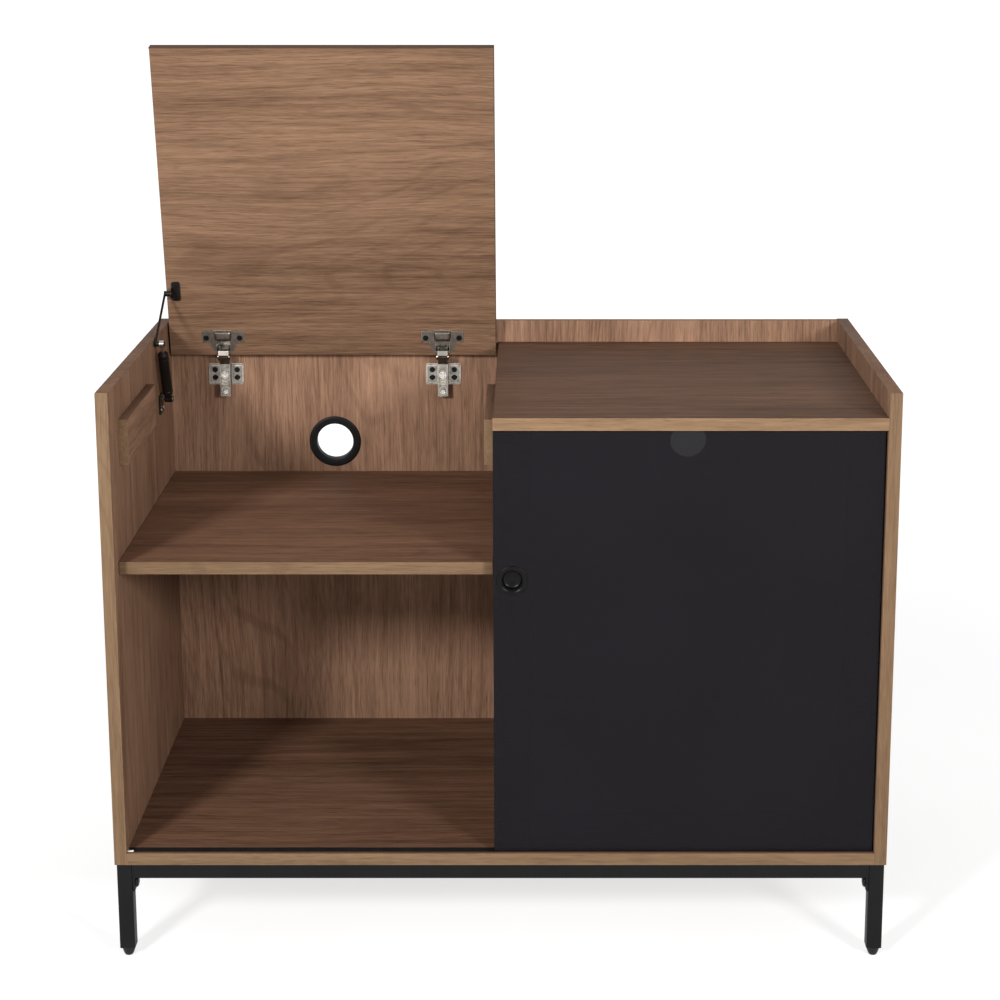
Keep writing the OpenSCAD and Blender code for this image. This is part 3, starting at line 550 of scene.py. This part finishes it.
def board(name, node, grain, seed, mid, bands, box=None, band_mid=None, edge_mid=None):
    """A board from its CAD box, with edge bands on the faces named in bands, such as -Y and +Z.

    The band on the front is light, the bands on the other edges are as dark as edge_mid.
    """
    lo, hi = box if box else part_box(node)
    core_lo, core_hi = lo.copy(), hi.copy()
    strips = []
    for face in bands:
        i = "XYZ".index(face[1])
        s_lo, s_hi = core_lo.copy(), core_hi.copy()
        if face[0] == "-":
            s_hi[i] = lo[i] + BAND_T
            core_lo[i] = lo[i] + BAND_T
        else:
            s_lo[i] = hi[i] - BAND_T
            core_hi[i] = hi[i] - BAND_T
        strips.append((s_lo, s_hi, 1 if face == "-Y" else 2))
    bm = bmesh.new()
    box_into(bm, core_lo, core_hi, CORE_EDGE, 1, 0)
    for s_lo, s_hi, mat in strips:
        box_into(bm, s_lo, s_hi, BAND_EDGE, 2, mat)
    mats = [
        wood(name + "_face", grain, seed, mid, 1.0, lo, hi),
        wood(name + "_band", grain, seed + 40, band_mid or BAND_WOOD, 0.62, lo, hi, True),
        wood(name + "_edge", grain, seed + 70, edge_mid or scaled(mid, 0.8), 0.7, lo, hi, True),
        raw_board(name + "_cut", seed),
    ]
    return finish_mesh(name, bm, mats)


for name, node, seed, bands in (
    ("side_left_board", "side_panel_left", 1, ["-Y", "+Z", "+Y"]),
    ("side_right_board", "side_panel_right", 2, ["-Y", "+Z", "+Y"]),
    ("divider_board", "divider", 3, ["-Y"]),
):
    settle(board(name, node, "Z", seed, UPRIGHT_WOOD, bands), "carcass", "board_upright", node)
# The shelves are drawn 1.1 times lighter than the bottom board of the same laminate: painted light
for k, node in enumerate(("shelf_left", "shelf_right_upper", "shelf_right_lower")):
    settle(board(node + "_board", node, "X", 11 + k, scaled(LEVEL_WOOD, 1.1), ["-Y"]),
           "carcass", "board_level", node)

# Back panel with its two cable holes
back = board("back_board", "back_panel", "Z", 5, scaled(UPRIGHT_WOOD, 1.15), ["+Z"])
lo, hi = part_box("cable_grommet_left")
RIM_R = (hi.x - lo.x) / 2
HOLE_R = RIM_R * 0.8  # the hole in the panel, which the rim covers
lo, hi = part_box("back_panel")
holes = []
for node in GROMMETS:
    c = middle(node)
    ends = (Vector((c.x, y, c.z)) for y in (lo.y - REACH, hi.y + REACH))
    holes.append(cylinder(*ends, "Y", HOLE_R))
settle(cut(back, holes), "carcass", "board_upright", "back_panel")

# Bottom and top boards with the door's grooves
TRACK_PLAY = 0.001  # behind the door's strips
GUIDE_PLAY = 0.0003  # before and behind the guide pin
SLIT_DEPTH = 0.008
lo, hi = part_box("bottom_panel")
stop_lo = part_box("door_stop")[0]
strip_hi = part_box("door_stile_left")[1]
bottom = board("bottom_board", "bottom_panel", "X", 21, LEVEL_WOOD, ["-Y"])
track = moved(lo, hi, x0=lo.x - REACH, x1=hi.x + REACH, y0=stop_lo.y, y1=strip_hi.y + TRACK_PLAY,
              z0=stop_lo.z, z1=hi.z + REACH)
# The track groove in the bottom board is painted near-black, as shade
settle(shaded_groove(cut(bottom, [block(*track)]), *track), "carcass", "board_level", "bottom_panel")

lo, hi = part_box("top_panel")
guide_lo, guide_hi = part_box("door_top_guide")
# The top's face is drawn darker (0.86) than the bottom board of the same laminate, as painted shade, and its
# front band lighter (1.25) than the other front bands, as painted light
top = board("top_board", "top_panel", "X", 23, scaled(LEVEL_WOOD, 0.86), ["-Y", "-X"],
            band_mid=scaled(BAND_WOOD, 1.25))
slit = moved(lo, hi, x0=lo.x - REACH, x1=hi.x + REACH, y0=guide_lo.y - GUIDE_PLAY, y1=guide_hi.y + GUIDE_PLAY,
             z0=lo.z - REACH, z1=lo.z + SLIT_DEPTH)
# The guide slit in the top board is painted near-black, as shade
settle(shaded_groove(cut(top, [block(*slit)]), *slit), "carcass", "board_level", "top_panel")

# Battens under the closed lid
for k, node in enumerate(("lid_batten_left", "lid_batten_right")):
    settle(board(node + "_board", node, "Y", 31 + k, UPRIGHT_WOOD, ["-Y", "+Y", "+Z", "-Z"],
                 band_mid=scaled(BAND_WOOD, 1.1)), "carcass", "board_upright", node)


def closed_box(node):
    """The box of a lid node in the closed lid's own coordinates."""
    back_turn = LID.inverted()
    points = [back_turn @ v.co for v in NODES[node].data.vertices]
    lo = Vector([min(p[i] for p in points) for i in range(3)])
    hi = Vector([max(p[i] for p in points) for i in range(3)])
    return lo, hi


# Lid with the pockets for the hinge cups, drawn closed and turned open
FLANGE_HALF = 0.030  # half the width of a cup's flange
CUP_R = 0.0175
CUP_MARGIN = 0.004  # board left between a pocket and the lid's rear edge
lid_lo, lid_hi = closed_box("lid_panel")
lid_edge = scaled(LID_WOOD, 0.5)
lid = board("lid_board", "lid_panel", "X", 7, LID_WOOD, ["-Y", "+Y", "-X", "+X"], box=(lid_lo, lid_hi),
            band_mid=lid_edge, edge_mid=lid_edge)
cup_lo, cup_hi = closed_box("hinge_cups")
HINGE_XS = [cup_lo.x + FLANGE_HALF, cup_hi.x - FLANGE_HALF]
CUP_Y = lid_hi.y - CUP_MARGIN - CUP_R
holes = []
for x in HINGE_XS:
    ends = (Vector((x, CUP_Y, z)) for z in (lid_lo.z - REACH, cup_hi.z))
    holes.append(cylinder(*ends, "Z", CUP_R))
cut(lid, holes)
lid.matrix_world = LID
settle(lid, "lid", "board_lid", "lid_panel")

# ---------------------------------------------------------------- steel base

LEGS = ("leg_front_left", "leg_front_right", "leg_rear_left", "leg_rear_right")
LONG_RAILS = ("rail_front", "rail_rear")
SIDE_RAILS = ("rail_left", "rail_right")


def rounded_square(half, r, steps=5):
    """The outline of a square with rounded corners."""
    points = []
    for sx, sy, start in ((1, 1, 0), (-1, 1, 90), (-1, -1, 180), (1, -1, 270)):
        for i in range(steps + 1):
            a = math.radians(start + 90 * i / steps)
            points.append((sx * (half - r) + r * math.cos(a), sy * (half - r) + r * math.sin(a)))
    return points


def tube_into(bm, start, end, half, wall=0.0015, r=0.0022, least_r=0.0006):
    """A square tube from start to end, its corners rounded by r outside and at least least_r inside."""
    part = bmesh.new()
    rings = []
    length = (end - start).length
    for half_now, r_now in ((half, r), (half - wall, max(r - wall, least_r))):
        outline = rounded_square(half_now, r_now)
        rings.append([[part.verts.new((x, y, z)) for x, y in outline] for z in (0.0, length)])
    count = len(rings[0][0])
    (out_a, out_b), (in_a, in_b) = rings
    for i in range(count):
        j = (i + 1) % count
        part.faces.new((out_a[i], out_a[j], out_b[j], out_b[i]))
        part.faces.new((in_a[j], in_a[i], in_b[i], in_b[j]))
        part.faces.new((out_a[j], out_a[i], in_a[i], in_a[j]))
        part.faces.new((out_b[i], out_b[j], in_b[j], in_b[i]))
    merge_into(bm, part, Matrix.Translation(start) @ turned_to((end - start).normalized()))


def weld_into(bm, corner_a, corner_b, r, seed):
    """A small rippled weld bead between two points, drawn in at its ends."""
    part = bmesh.new()
    length = (corner_b - corner_a).length
    ring_gap, ripple, ripple_turn, end_share = 0.0012, 0.22, 2.4, 0.55
    steps, sides = max(6, int(length / ring_gap)), 8
    rings = []
    for k in range(steps + 1):
        swell = r * (1 + ripple * math.sin(k * ripple_turn + seed)) * (end_share if k in (0, steps) else 1)
        rings.append(circle(part, swell, length * k / steps, sides))
    for a, b in zip(rings, rings[1:]):
        for i in range(sides):
            part.faces.new((a[i], a[(i + 1) % sides], b[(i + 1) % sides], b[i]))
    part.faces.new(list(reversed(rings[0])))
    part.faces.new(rings[-1])
    merge_into(bm, part, Matrix.Translation(corner_a) @ turned_to((corner_b - corner_a).normalized()))


leg_lo, leg_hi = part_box("leg_front_left")
TUBE = leg_hi.x - leg_lo.x  # width of the square tube, the same in legs and rails


def steel_tube(node, axis, welds=None):
    """A leg or rail in place of its CAD node, along an axis. welds(bm, lo, hi) adds the beads at its ends."""
    lo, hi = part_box(node)
    i = "XYZ".index(axis)
    start = middle(node)
    end = start.copy()
    start[i], end[i] = lo[i], hi[i]
    bm = bmesh.new()
    tube_into(bm, start, end, TUBE / 2)
    if welds:
        welds(bm, lo, hi)
    obj = finish_mesh(node + "_tube", bm, [painted_steel(node + "_coat", BLACK_COAT, lo, hi)])
    settle(obj, "carcass", "base_steel", node)


for node in LEGS:
    steel_tube(node, "Z")


def end_welds(axis, seed):
    """At both ends of a rail along an axis: a bead up each side and one along the underside."""
    along = "XYZ".index(axis)
    across = 1 - along
    from_end, from_side, from_corner = 0.0004, 0.0012, 0.003
    lift, from_top = 0.0006, 0.002
    side_r, under_r = 0.001, 0.0012

    def at(along_value, across_value, z):
        point = Vector((0, 0, z))
        point[along], point[across] = along_value, across_value
        return point

    def welds(bm, lo, hi):
        for end in (lo[along] + from_end, hi[along] - from_end):
            for side in (lo[across] + from_side, hi[across] - from_side):
                weld_into(bm, at(end, side, lo.z + from_corner), at(end, side, hi.z - from_top), side_r, seed)
            weld_into(bm, at(end, lo[across] + from_corner, lo.z + lift),
                      at(end, hi[across] - from_corner, lo.z + lift), under_r, seed)

    return welds


for seed, node in enumerate(LONG_RAILS):
    steel_tube(node, "X", end_welds("X", seed))

# End plates between the long rails and the legs
lo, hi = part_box("rail_end_plates")
rail_lo, rail_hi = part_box("rail_front")
bm = bmesh.new()
for x0, x1 in ((lo.x, rail_lo.x), (rail_hi.x, hi.x)):
    for y0, y1 in ((lo.y, lo.y + TUBE), (hi.y - TUBE, hi.y)):
        box_into(bm, (x0, y0, lo.z), (x1, y1, hi.z), bevel=0.0007)
settle(finish_mesh("end_plates", bm, [painted_steel("end_plate_coat", BLACK_COAT, lo, hi)]),
       "carcass", "base_steel", "rail_end_plates")

for seed, node in enumerate(SIDE_RAILS):
    steel_tube(node, "Y", end_welds("Y", seed))

# Foot glides: a domed body with a bead at the top and a plug inside the tube
lo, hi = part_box("foot_glides")
GLIDE_H = leg_lo.z
GLIDE_R = 0.0095
BEAD_H = 0.0018
flat_r, foot_r, spread = 0.0034, 0.004, GLIDE_R - 0.0045
dome_steps = 15
profile = [(0.0, 0.0), (flat_r, 0.0)]
for i in range(1, dome_steps):
    t = i / dome_steps
    profile.append((foot_r + spread * t ** 0.6, (GLIDE_H - BEAD_H) * t))
profile += [(GLIDE_R - 0.0002, GLIDE_H - BEAD_H), (GLIDE_R, GLIDE_H - 0.0012), (GLIDE_R, GLIDE_H - 0.0004),
            (GLIDE_R - 0.0003, GLIDE_H), (0.0, GLIDE_H)]
plug = TUBE / 2 - 0.0017  # half its width, with a little play inside the tube's wall
plug_z = GLIDE_H - 0.001
bm = bmesh.new()
for node in LEGS:
    c = middle(node)
    lathe_into(bm, profile, 64, Matrix.Translation((c.x, c.y, 0)))
    box_into(bm, (c.x - plug, c.y - plug, plug_z), (c.x + plug, c.y + plug, hi.z), bevel=0.0005)
feet = finish_mesh("glides", bm, [moulded("glide_plastic", BLACK_PLASTIC, 0.48, spec=0.2)])
settle(feet, "carcass", "black_plastic", "foot_glides")

# Domed bolts on the end plates, with a small dimple in the middle
lo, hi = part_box("leg_bolts")
bolt_z = (lo.z + hi.z) / 2
head_r = (hi.z - lo.z) / 2
head_h, rim_h, dimple = 0.004, 0.0012, 0.0010
profile = [(0.0, 0.0), (head_r, 0.0), (head_r, rim_h)]
for a in quarter(9)[:-1]:
    profile.append((head_r * math.cos(a) ** 0.6, rim_h + (head_h - rim_h) * math.sin(a)))
profile += [(0.0016, head_h - 0.0002), (0.0014, head_h - dimple), (0.0, head_h - dimple)]
bm = bmesh.new()
for sx in (-1, 1):
    for node in LONG_RAILS:
        place = Matrix.Translation((sx * rail_hi.x, middle(node).y, bolt_z))
        lathe_into(bm, profile, 48, place @ Matrix.Rotation(-sx * QUARTER_TURN, 4, "Y"))
bolts = finish_mesh("bolt_heads", bm, [painted_steel("bolt_coat", BLACK_COAT, gloss=0.3)])
settle(bolts, "carcass", "base_steel", "leg_bolts")
dress("base_screws", plated("screw_zinc", NICKEL, 0.35), SOFT_EDGE)

# ---------------------------------------------------------------- cable grommets


def grommet(node):
    """A cable outlet: a sleeve through the back panel, and a rounded rim with a fine groove in its face."""
    lo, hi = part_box(node)
    c = middle(node)
    depth = hi.y - lo.y
    rim_width, rim_h, rim_foot, shoulder = 0.011, 0.0025, 0.0006, 0.0022
    sleeve_play, lip = 0.0003, 0.0014
    bore = RIM_R - rim_width
    sleeve = HOLE_R - sleeve_play
    profile = [(bore, 0.0), (sleeve - 0.0004, 0.0), (sleeve, 0.0006), (sleeve, depth - rim_h)]
    profile += [(RIM_R, depth - rim_h), (RIM_R, depth - rim_h + rim_foot)]
    for a in quarter(6):
        profile.append((RIM_R - shoulder * (1 - math.cos(a)),
                        depth - rim_h + rim_foot + (rim_h - rim_foot) * math.sin(a)))
    profile += [(RIM_R - inset, depth - down) for inset, down in
                ((0.0040, 0.0), (0.0043, 0.0005), (0.0050, 0.0005), (0.0053, 0.0))]
    profile.append((bore + lip, depth))
    for a in quarter(4):
        profile.append((bore + lip * (1 - math.sin(a)), depth - lip * (1 - math.cos(a))))
    bm = bmesh.new()
    place = Matrix.Translation((c.x, hi.y, c.z)) @ Matrix.Rotation(QUARTER_TURN, 4, "X")
    lathe_into(bm, profile, 96, place)
    obj = finish_mesh(node + "_ring", bm, [moulded(node + "_plastic", BLACK_PLASTIC, 0.42, spec=0.18)])
    settle(obj, "carcass", "black_plastic", node)


for node in GROMMETS:
    grommet(node)

# ---------------------------------------------------------------- hinges

nickel = plated("hinge_nickel", NICKEL, 0.27, "X")
nickel_arm = plated("arm_nickel", NICKEL, 0.25, "Z")
black_screw = painted_steel("screw_black", linear(14, 13, 13), gloss=0.3)
dress("hinge_plates", nickel, SOFT_EDGE)
dress("hinge_arms", nickel_arm, SOFT_EDGE)
dress("hinge_arm_screws", plated("clamp_screw", scaled(NICKEL, 1.5), 0.16), 0.00018)
dress("hinge_plate_screws", black_screw, FINE_EDGE)
dress("hinge_cup_screws", black_screw, FINE_EDGE)
dress("hinge_cups", nickel, FINE_EDGE)
dress("hinge_pins", nickel_arm, 0.0001)


def link_cover(x_mid, bm):
    """A pressed dome between the flange's wings, as a grid that runs out flat towards the neck."""
    lo, hi = closed_box("hinge_link_covers")
    z_rest = hi.z
    rise = (hi.z - lo.z) * 0.98  # a little lower than the CAD's cover
    half = (hi.x - lo.x) / 2 - (HINGE_XS[1] - HINGE_XS[0]) / 2
    y0, y1 = lo.y, hi.y
    nx, ny = 28, 20
    squareness = 9
    front_run = 0.16  # shares of the dome's length, from its front
    tail_from, tail_run = 0.66, 0.34
    taper, taper_from = 0.12, 0.5
    grid = []
    for j in range(ny + 1):
        v = j / ny
        row = []
        for i in range(nx + 1):
            u = 2 * i / nx - 1
            side = max(0.0, 1 - abs(u) ** squareness) ** 0.5
            front = math.sin(min(1.0, v / front_run) * math.pi / 2)
            tail = 1.0 if v < tail_from else math.cos((v - tail_from) / tail_run * math.pi / 2) ** 0.5
            h = rise * side * front * max(tail, 0.0)
            width = half * (1 - taper * max(0.0, v - taper_from) / taper_from)
            row.append(bm.verts.new((x_mid + u * width, y0 + (y1 - y0) * v, z_rest - h)))
        grid.append(row)
    base = [[bm.verts.new((p.co.x, p.co.y, z_rest)) for p in row] for row in grid]
    for j in range(ny):
        for i in range(nx):
            bm.faces.new((grid[j][i], grid[j + 1][i], grid[j + 1][i + 1], grid[j][i + 1]))
            bm.faces.new((base[j][i], base[j][i + 1], base[j + 1][i + 1], base[j + 1][i]))
    for j in range(ny):
        bm.faces.new((grid[j][0], base[j][0], base[j + 1][0], grid[j + 1][0]))
        bm.faces.new((grid[j][nx], grid[j + 1][nx], base[j + 1][nx], base[j][nx]))
    for i in range(nx):
        bm.faces.new((grid[0][i], grid[0][i + 1], base[0][i + 1], base[0][i]))
        bm.faces.new((grid[ny][i], base[ny][i], base[ny][i + 1], grid[ny][i + 1]))


def drop_doubled(bm):
    """Removes pairs of triangles on the same three points, where the dome runs out flat on its base."""
    bmesh.ops.triangulate(bm, faces=bm.faces[:])
    bm.verts.index_update()
    on_points = {}
    for face in bm.faces:
        on_points.setdefault(frozenset(v.index for v in face.verts), []).append(face)
    doubled = [face for faces in on_points.values() if len(faces) > 1 for face in faces]
    bmesh.ops.delete(bm, geom=doubled, context="FACES")


bm = bmesh.new()
for x in HINGE_XS:
    link_cover(x, bm)
bmesh.ops.remove_doubles(bm, verts=bm.verts, dist=SAME_POINT)
drop_doubled(bm)
bmesh.ops.recalc_face_normals(bm, faces=bm.faces)
covers = finish_mesh("hinge_domes", bm, [nickel], smooth=40)
covers.matrix_world = LID
settle(covers, "lid", "nickel", "hinge_link_covers")

# ---------------------------------------------------------------- lid stay

stay_black = painted_steel("stay_coat", linear(19, 16, 14), gloss=0.3)
PIVOT = Vector(JOINTS["stay_side_pivot"]["pos_m"])
e_lo, e_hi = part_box("stay_elbow_pin")
ELBOW = Vector((PIVOT.x, (e_lo.y + e_hi.y) / 2, (e_lo.z + e_hi.z) / 2))
UP = (ELBOW - PIVOT).normalized()
TURN = Matrix.Translation(PIVOT) @ turned_to(UP)
barrel_lo, barrel_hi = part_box("stay_barrel")
BARREL_R = (barrel_hi.x - barrel_lo.x) / 2
BARREL_0 = 0.009  # its ends, measured from the side pivot
BARREL_1 = 0.080
# The barrel's outline: how far inside its radius, and how far from its lower or its upper end
LOWER_END = ((0.0022, 0.0), (0.0008, 0.0008), (0.0, 0.0026), (0.0, 0.0060), (0.0007, 0.0068),
             (0.0007, 0.0078), (0.0, 0.0086))
UPPER_END = ((0.0, 0.0100), (0.0007, 0.0094), (0.0007, 0.0080), (0.0002, 0.0072), (0.0002, 0.0030),
             (0.0014, 0.0012), (0.0032, 0.0002))
profile = [(0.0, BARREL_0)]
profile += [(BARREL_R - inset, BARREL_0 + up) for inset, up in LOWER_END]
profile += [(BARREL_R - inset, BARREL_1 - down) for inset, down in UPPER_END]
profile += [(0.0042, BARREL_1), (0.0036, BARREL_1 - 0.0006), (0.0, BARREL_1 - 0.0006)]
bm = bmesh.new()
lathe_into(bm, profile, 64, TURN)

# Its lower eye, turned across the barrel, and the neck between the two
eye_r, eye_half, bore_r = 0.005, 0.005, 0.00205
bore_edge, rim_edge = 0.0003, 0.0004
outline = [(bore_r, -eye_half + bore_edge), (bore_r + bore_edge, -eye_half), (eye_r - rim_edge, -eye_half),
           (eye_r, -eye_half + rim_edge), (eye_r, eye_half - rim_edge), (eye_r - rim_edge, eye_half),
           (bore_r + bore_edge, eye_half), (bore_r, eye_half - bore_edge)]
lathe_into(bm, outline, 48, TURN @ Matrix.Rotation(QUARTER_TURN, 4, "Y"))
neck_x, neck_y, neck_z = 0.0048, 0.0034, 0.0034
part = bmesh.new()
box_into(part, (-neck_x, -neck_y, neck_z), (neck_x, neck_y, BARREL_0 + 0.001), bevel=0.0006)
merge_into(bm, part, TURN)
barrel = finish_mesh("stay_damper", bm, [stay_black], smooth=38)
settle(barrel, "stay_lower", "stay_steel", "stay_barrel")
dress("stay_rod", plated("rod_chrome", (0.80, 0.80, 0.80), 0.12), 0.0002)
dress("stay_side_pin", plated("pin_zinc", scaled(NICKEL, 0.6), 0.3), SOFT_EDGE)
for node in ("stay_elbow_pin", "stay_lid_stud", "stay_arm", "stay_side_bracket", "stay_lid_bracket"):
    dress(node, stay_black, SOFT_EDGE)
dress("stay_side_screws", nickel_arm, FINE_EDGE)
dress("stay_lid_screws", black_screw, FINE_EDGE)

# ---------------------------------------------------------------- sliding door

dress("door_pane", smoked_pane("pane_sheet", linear(13, 11, 15), 0.88), 0.0004)
strip = moulded("strip_black", linear(13, 12, 14), 0.5, spec=0.15)
for node in ("door_stile_left", "door_stile_right", "door_bottom_strip"):
    dress(node, strip, SOFT_EDGE)
nylon = moulded("nylon_white", linear(226, 224, 216), 0.45, 1200.0, 0.5)
for node in ("door_top_guide", "door_pads", "door_stop"):
    dress(node, nylon, SOFT_EDGE)

# Finger pull: a body in the pane's hole, a rounded rim in front of it and a cup sunk into it
lo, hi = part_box("finger_pull")
c = middle("finger_pull")
pull_r = (hi.x - lo.x) / 2
pane_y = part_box("door_pane")[0].y
proud = pane_y - lo.y
deep = hi.y - pane_y
body_r = 0.0138
cup_r = 0.012
edge, body_edge = 0.0002, 0.0006
shoulder, rim_width = 0.0013, 0.0036
slope_steps, slope_depth = 8, 0.0030
profile = [(0.0, deep), (body_r - body_edge, deep), (body_r, deep - body_edge), (body_r, 0.0),
           (pull_r - edge, 0.0), (pull_r, -edge)]
for a in quarter(6):
    profile.append((pull_r - shoulder * (1 - math.cos(a)), -edge - (proud - edge) * math.sin(a)))
profile += [(pull_r - 0.0030, -proud), (pull_r - rim_width, -proud + edge)]
for i in range(1, slope_steps + 1):
    t = i / slope_steps
    profile.append((pull_r - rim_width - (pull_r - rim_width - cup_r) * t,
                    -proud + edge + slope_depth * t ** 1.7))
profile += [(cup_r - 0.0002, deep - 0.0050), (cup_r - 0.0008, deep - 0.0030), (cup_r - 0.0022, deep - 0.0020),
            (0.0, deep - 0.0018)]
bm = bmesh.new()
lathe_into(bm, profile, 96, Matrix.Translation((c.x, pane_y, c.z)) @ Matrix.Rotation(-QUARTER_TURN, 4, "X"))
pull = finish_mesh("pull_cup", bm, [moulded("pull_plastic", linear(8, 7, 8), 0.3, spec=0.12)])
settle(pull, "door", "black_plastic", "finger_pull")

# ---------------------------------------------------------------- hidden small parts

dress("dowels", wood("dowel_beech", "X", 60, linear(196, 160, 118), 0.4))
dress("shelf_pins", plated("shelf_pin_steel", NICKEL, 0.3), SOFT_EDGE)

# ---------------------------------------------------------------- studio

LIT_POINT = Vector((0, 0, 0.6))  # the lights face the middle of the cabinet
SKY_STRENGTH = 0.6
FLOOR_SIZE = 45.0
FLOOR_GREY = ((0.32, 0.32, 0.32), (0.36, 0.36, 0.36))
CAMERA_AT = (0.04375, -2.7702, 1.3594)
CAMERA_DOWN = math.radians(11.59)  # how far it looks down


def area(name, at, size, power):
    """A square light: where it stands, its side in metres and its power in watts. It faces LIT_POINT."""
    light = bpy.data.lights.new(name, "AREA")
    light.shape = "RECTANGLE"
    light.size = light.size_y = size
    light.energy = power
    obj = bpy.data.objects.new(name, light)
    bpy.context.scene.collection.objects.link(obj)
    obj.location = at
    obj.rotation_euler = (LIT_POINT - Vector(at)).to_track_quat("-Z", "Y").to_euler()


# A matt floor that glows a little more the farther it is from the cabinet
floor_net = Net("studio_floor")
cloud = floor_net.noise(floor_net.pos, 1.5, 3, 0.5)
away = floor_net.vmath("LENGTH", floor_net.pos, out="Value")
glow = floor_net.remap(away, 0.6, 3.2, 0.68, 0.86, True)
floor_net.bump(floor_net.noise(floor_net.pos, 220.0, 3, 0.6), 0.05, 0.0002)
floor_net.shader(Base_Color=floor_net.ramp(cloud, list(zip((0.3, 0.7), FLOOR_GREY))),
                 Roughness=floor_net.math("MULTIPLY_ADD", cloud, 0.1, 0.75),
                 Emission_Color=(1.0, 1.0, 1.0, 1.0), Emission_Strength=glow)
bm = bmesh.new()
bmesh.ops.create_grid(bm, x_segments=1, y_segments=1, size=FLOOR_SIZE)
floor = finish_mesh("floor", bm, [floor_net.mat], smooth=None)

area("key_left", (-1.9, -3.4, 2.3), 0.55, 150)
area("key_right", (2.3, -3.3, 1.9), 0.7, 115)

world = bpy.data.worlds.new("studio")
bpy.context.scene.world = world
world.use_nodes = True
sky = world.node_tree.nodes["Background"]
sky.inputs["Color"].default_value = (1.0, 1.0, 1.0, 1.0)
sky.inputs["Strength"].default_value = SKY_STRENGTH

scene = bpy.context.scene
scene.view_settings.view_transform = "Standard"
scene.view_settings.look = "None"
scene.view_settings.exposure = 0.0

camera = bpy.data.cameras.new("camera")
camera.sensor_width = 36.0
camera.lens = 75.84
camera.shift_x = -0.0342
camera.shift_y = -0.1707
camera.clip_end = 200.0
eye = bpy.data.objects.new("camera", camera)
scene.collection.objects.link(eye)
eye.location = CAMERA_AT
eye.rotation_euler = (QUARTER_TURN - CAMERA_DOWN, 0.0, 0.0)
scene.camera = eye
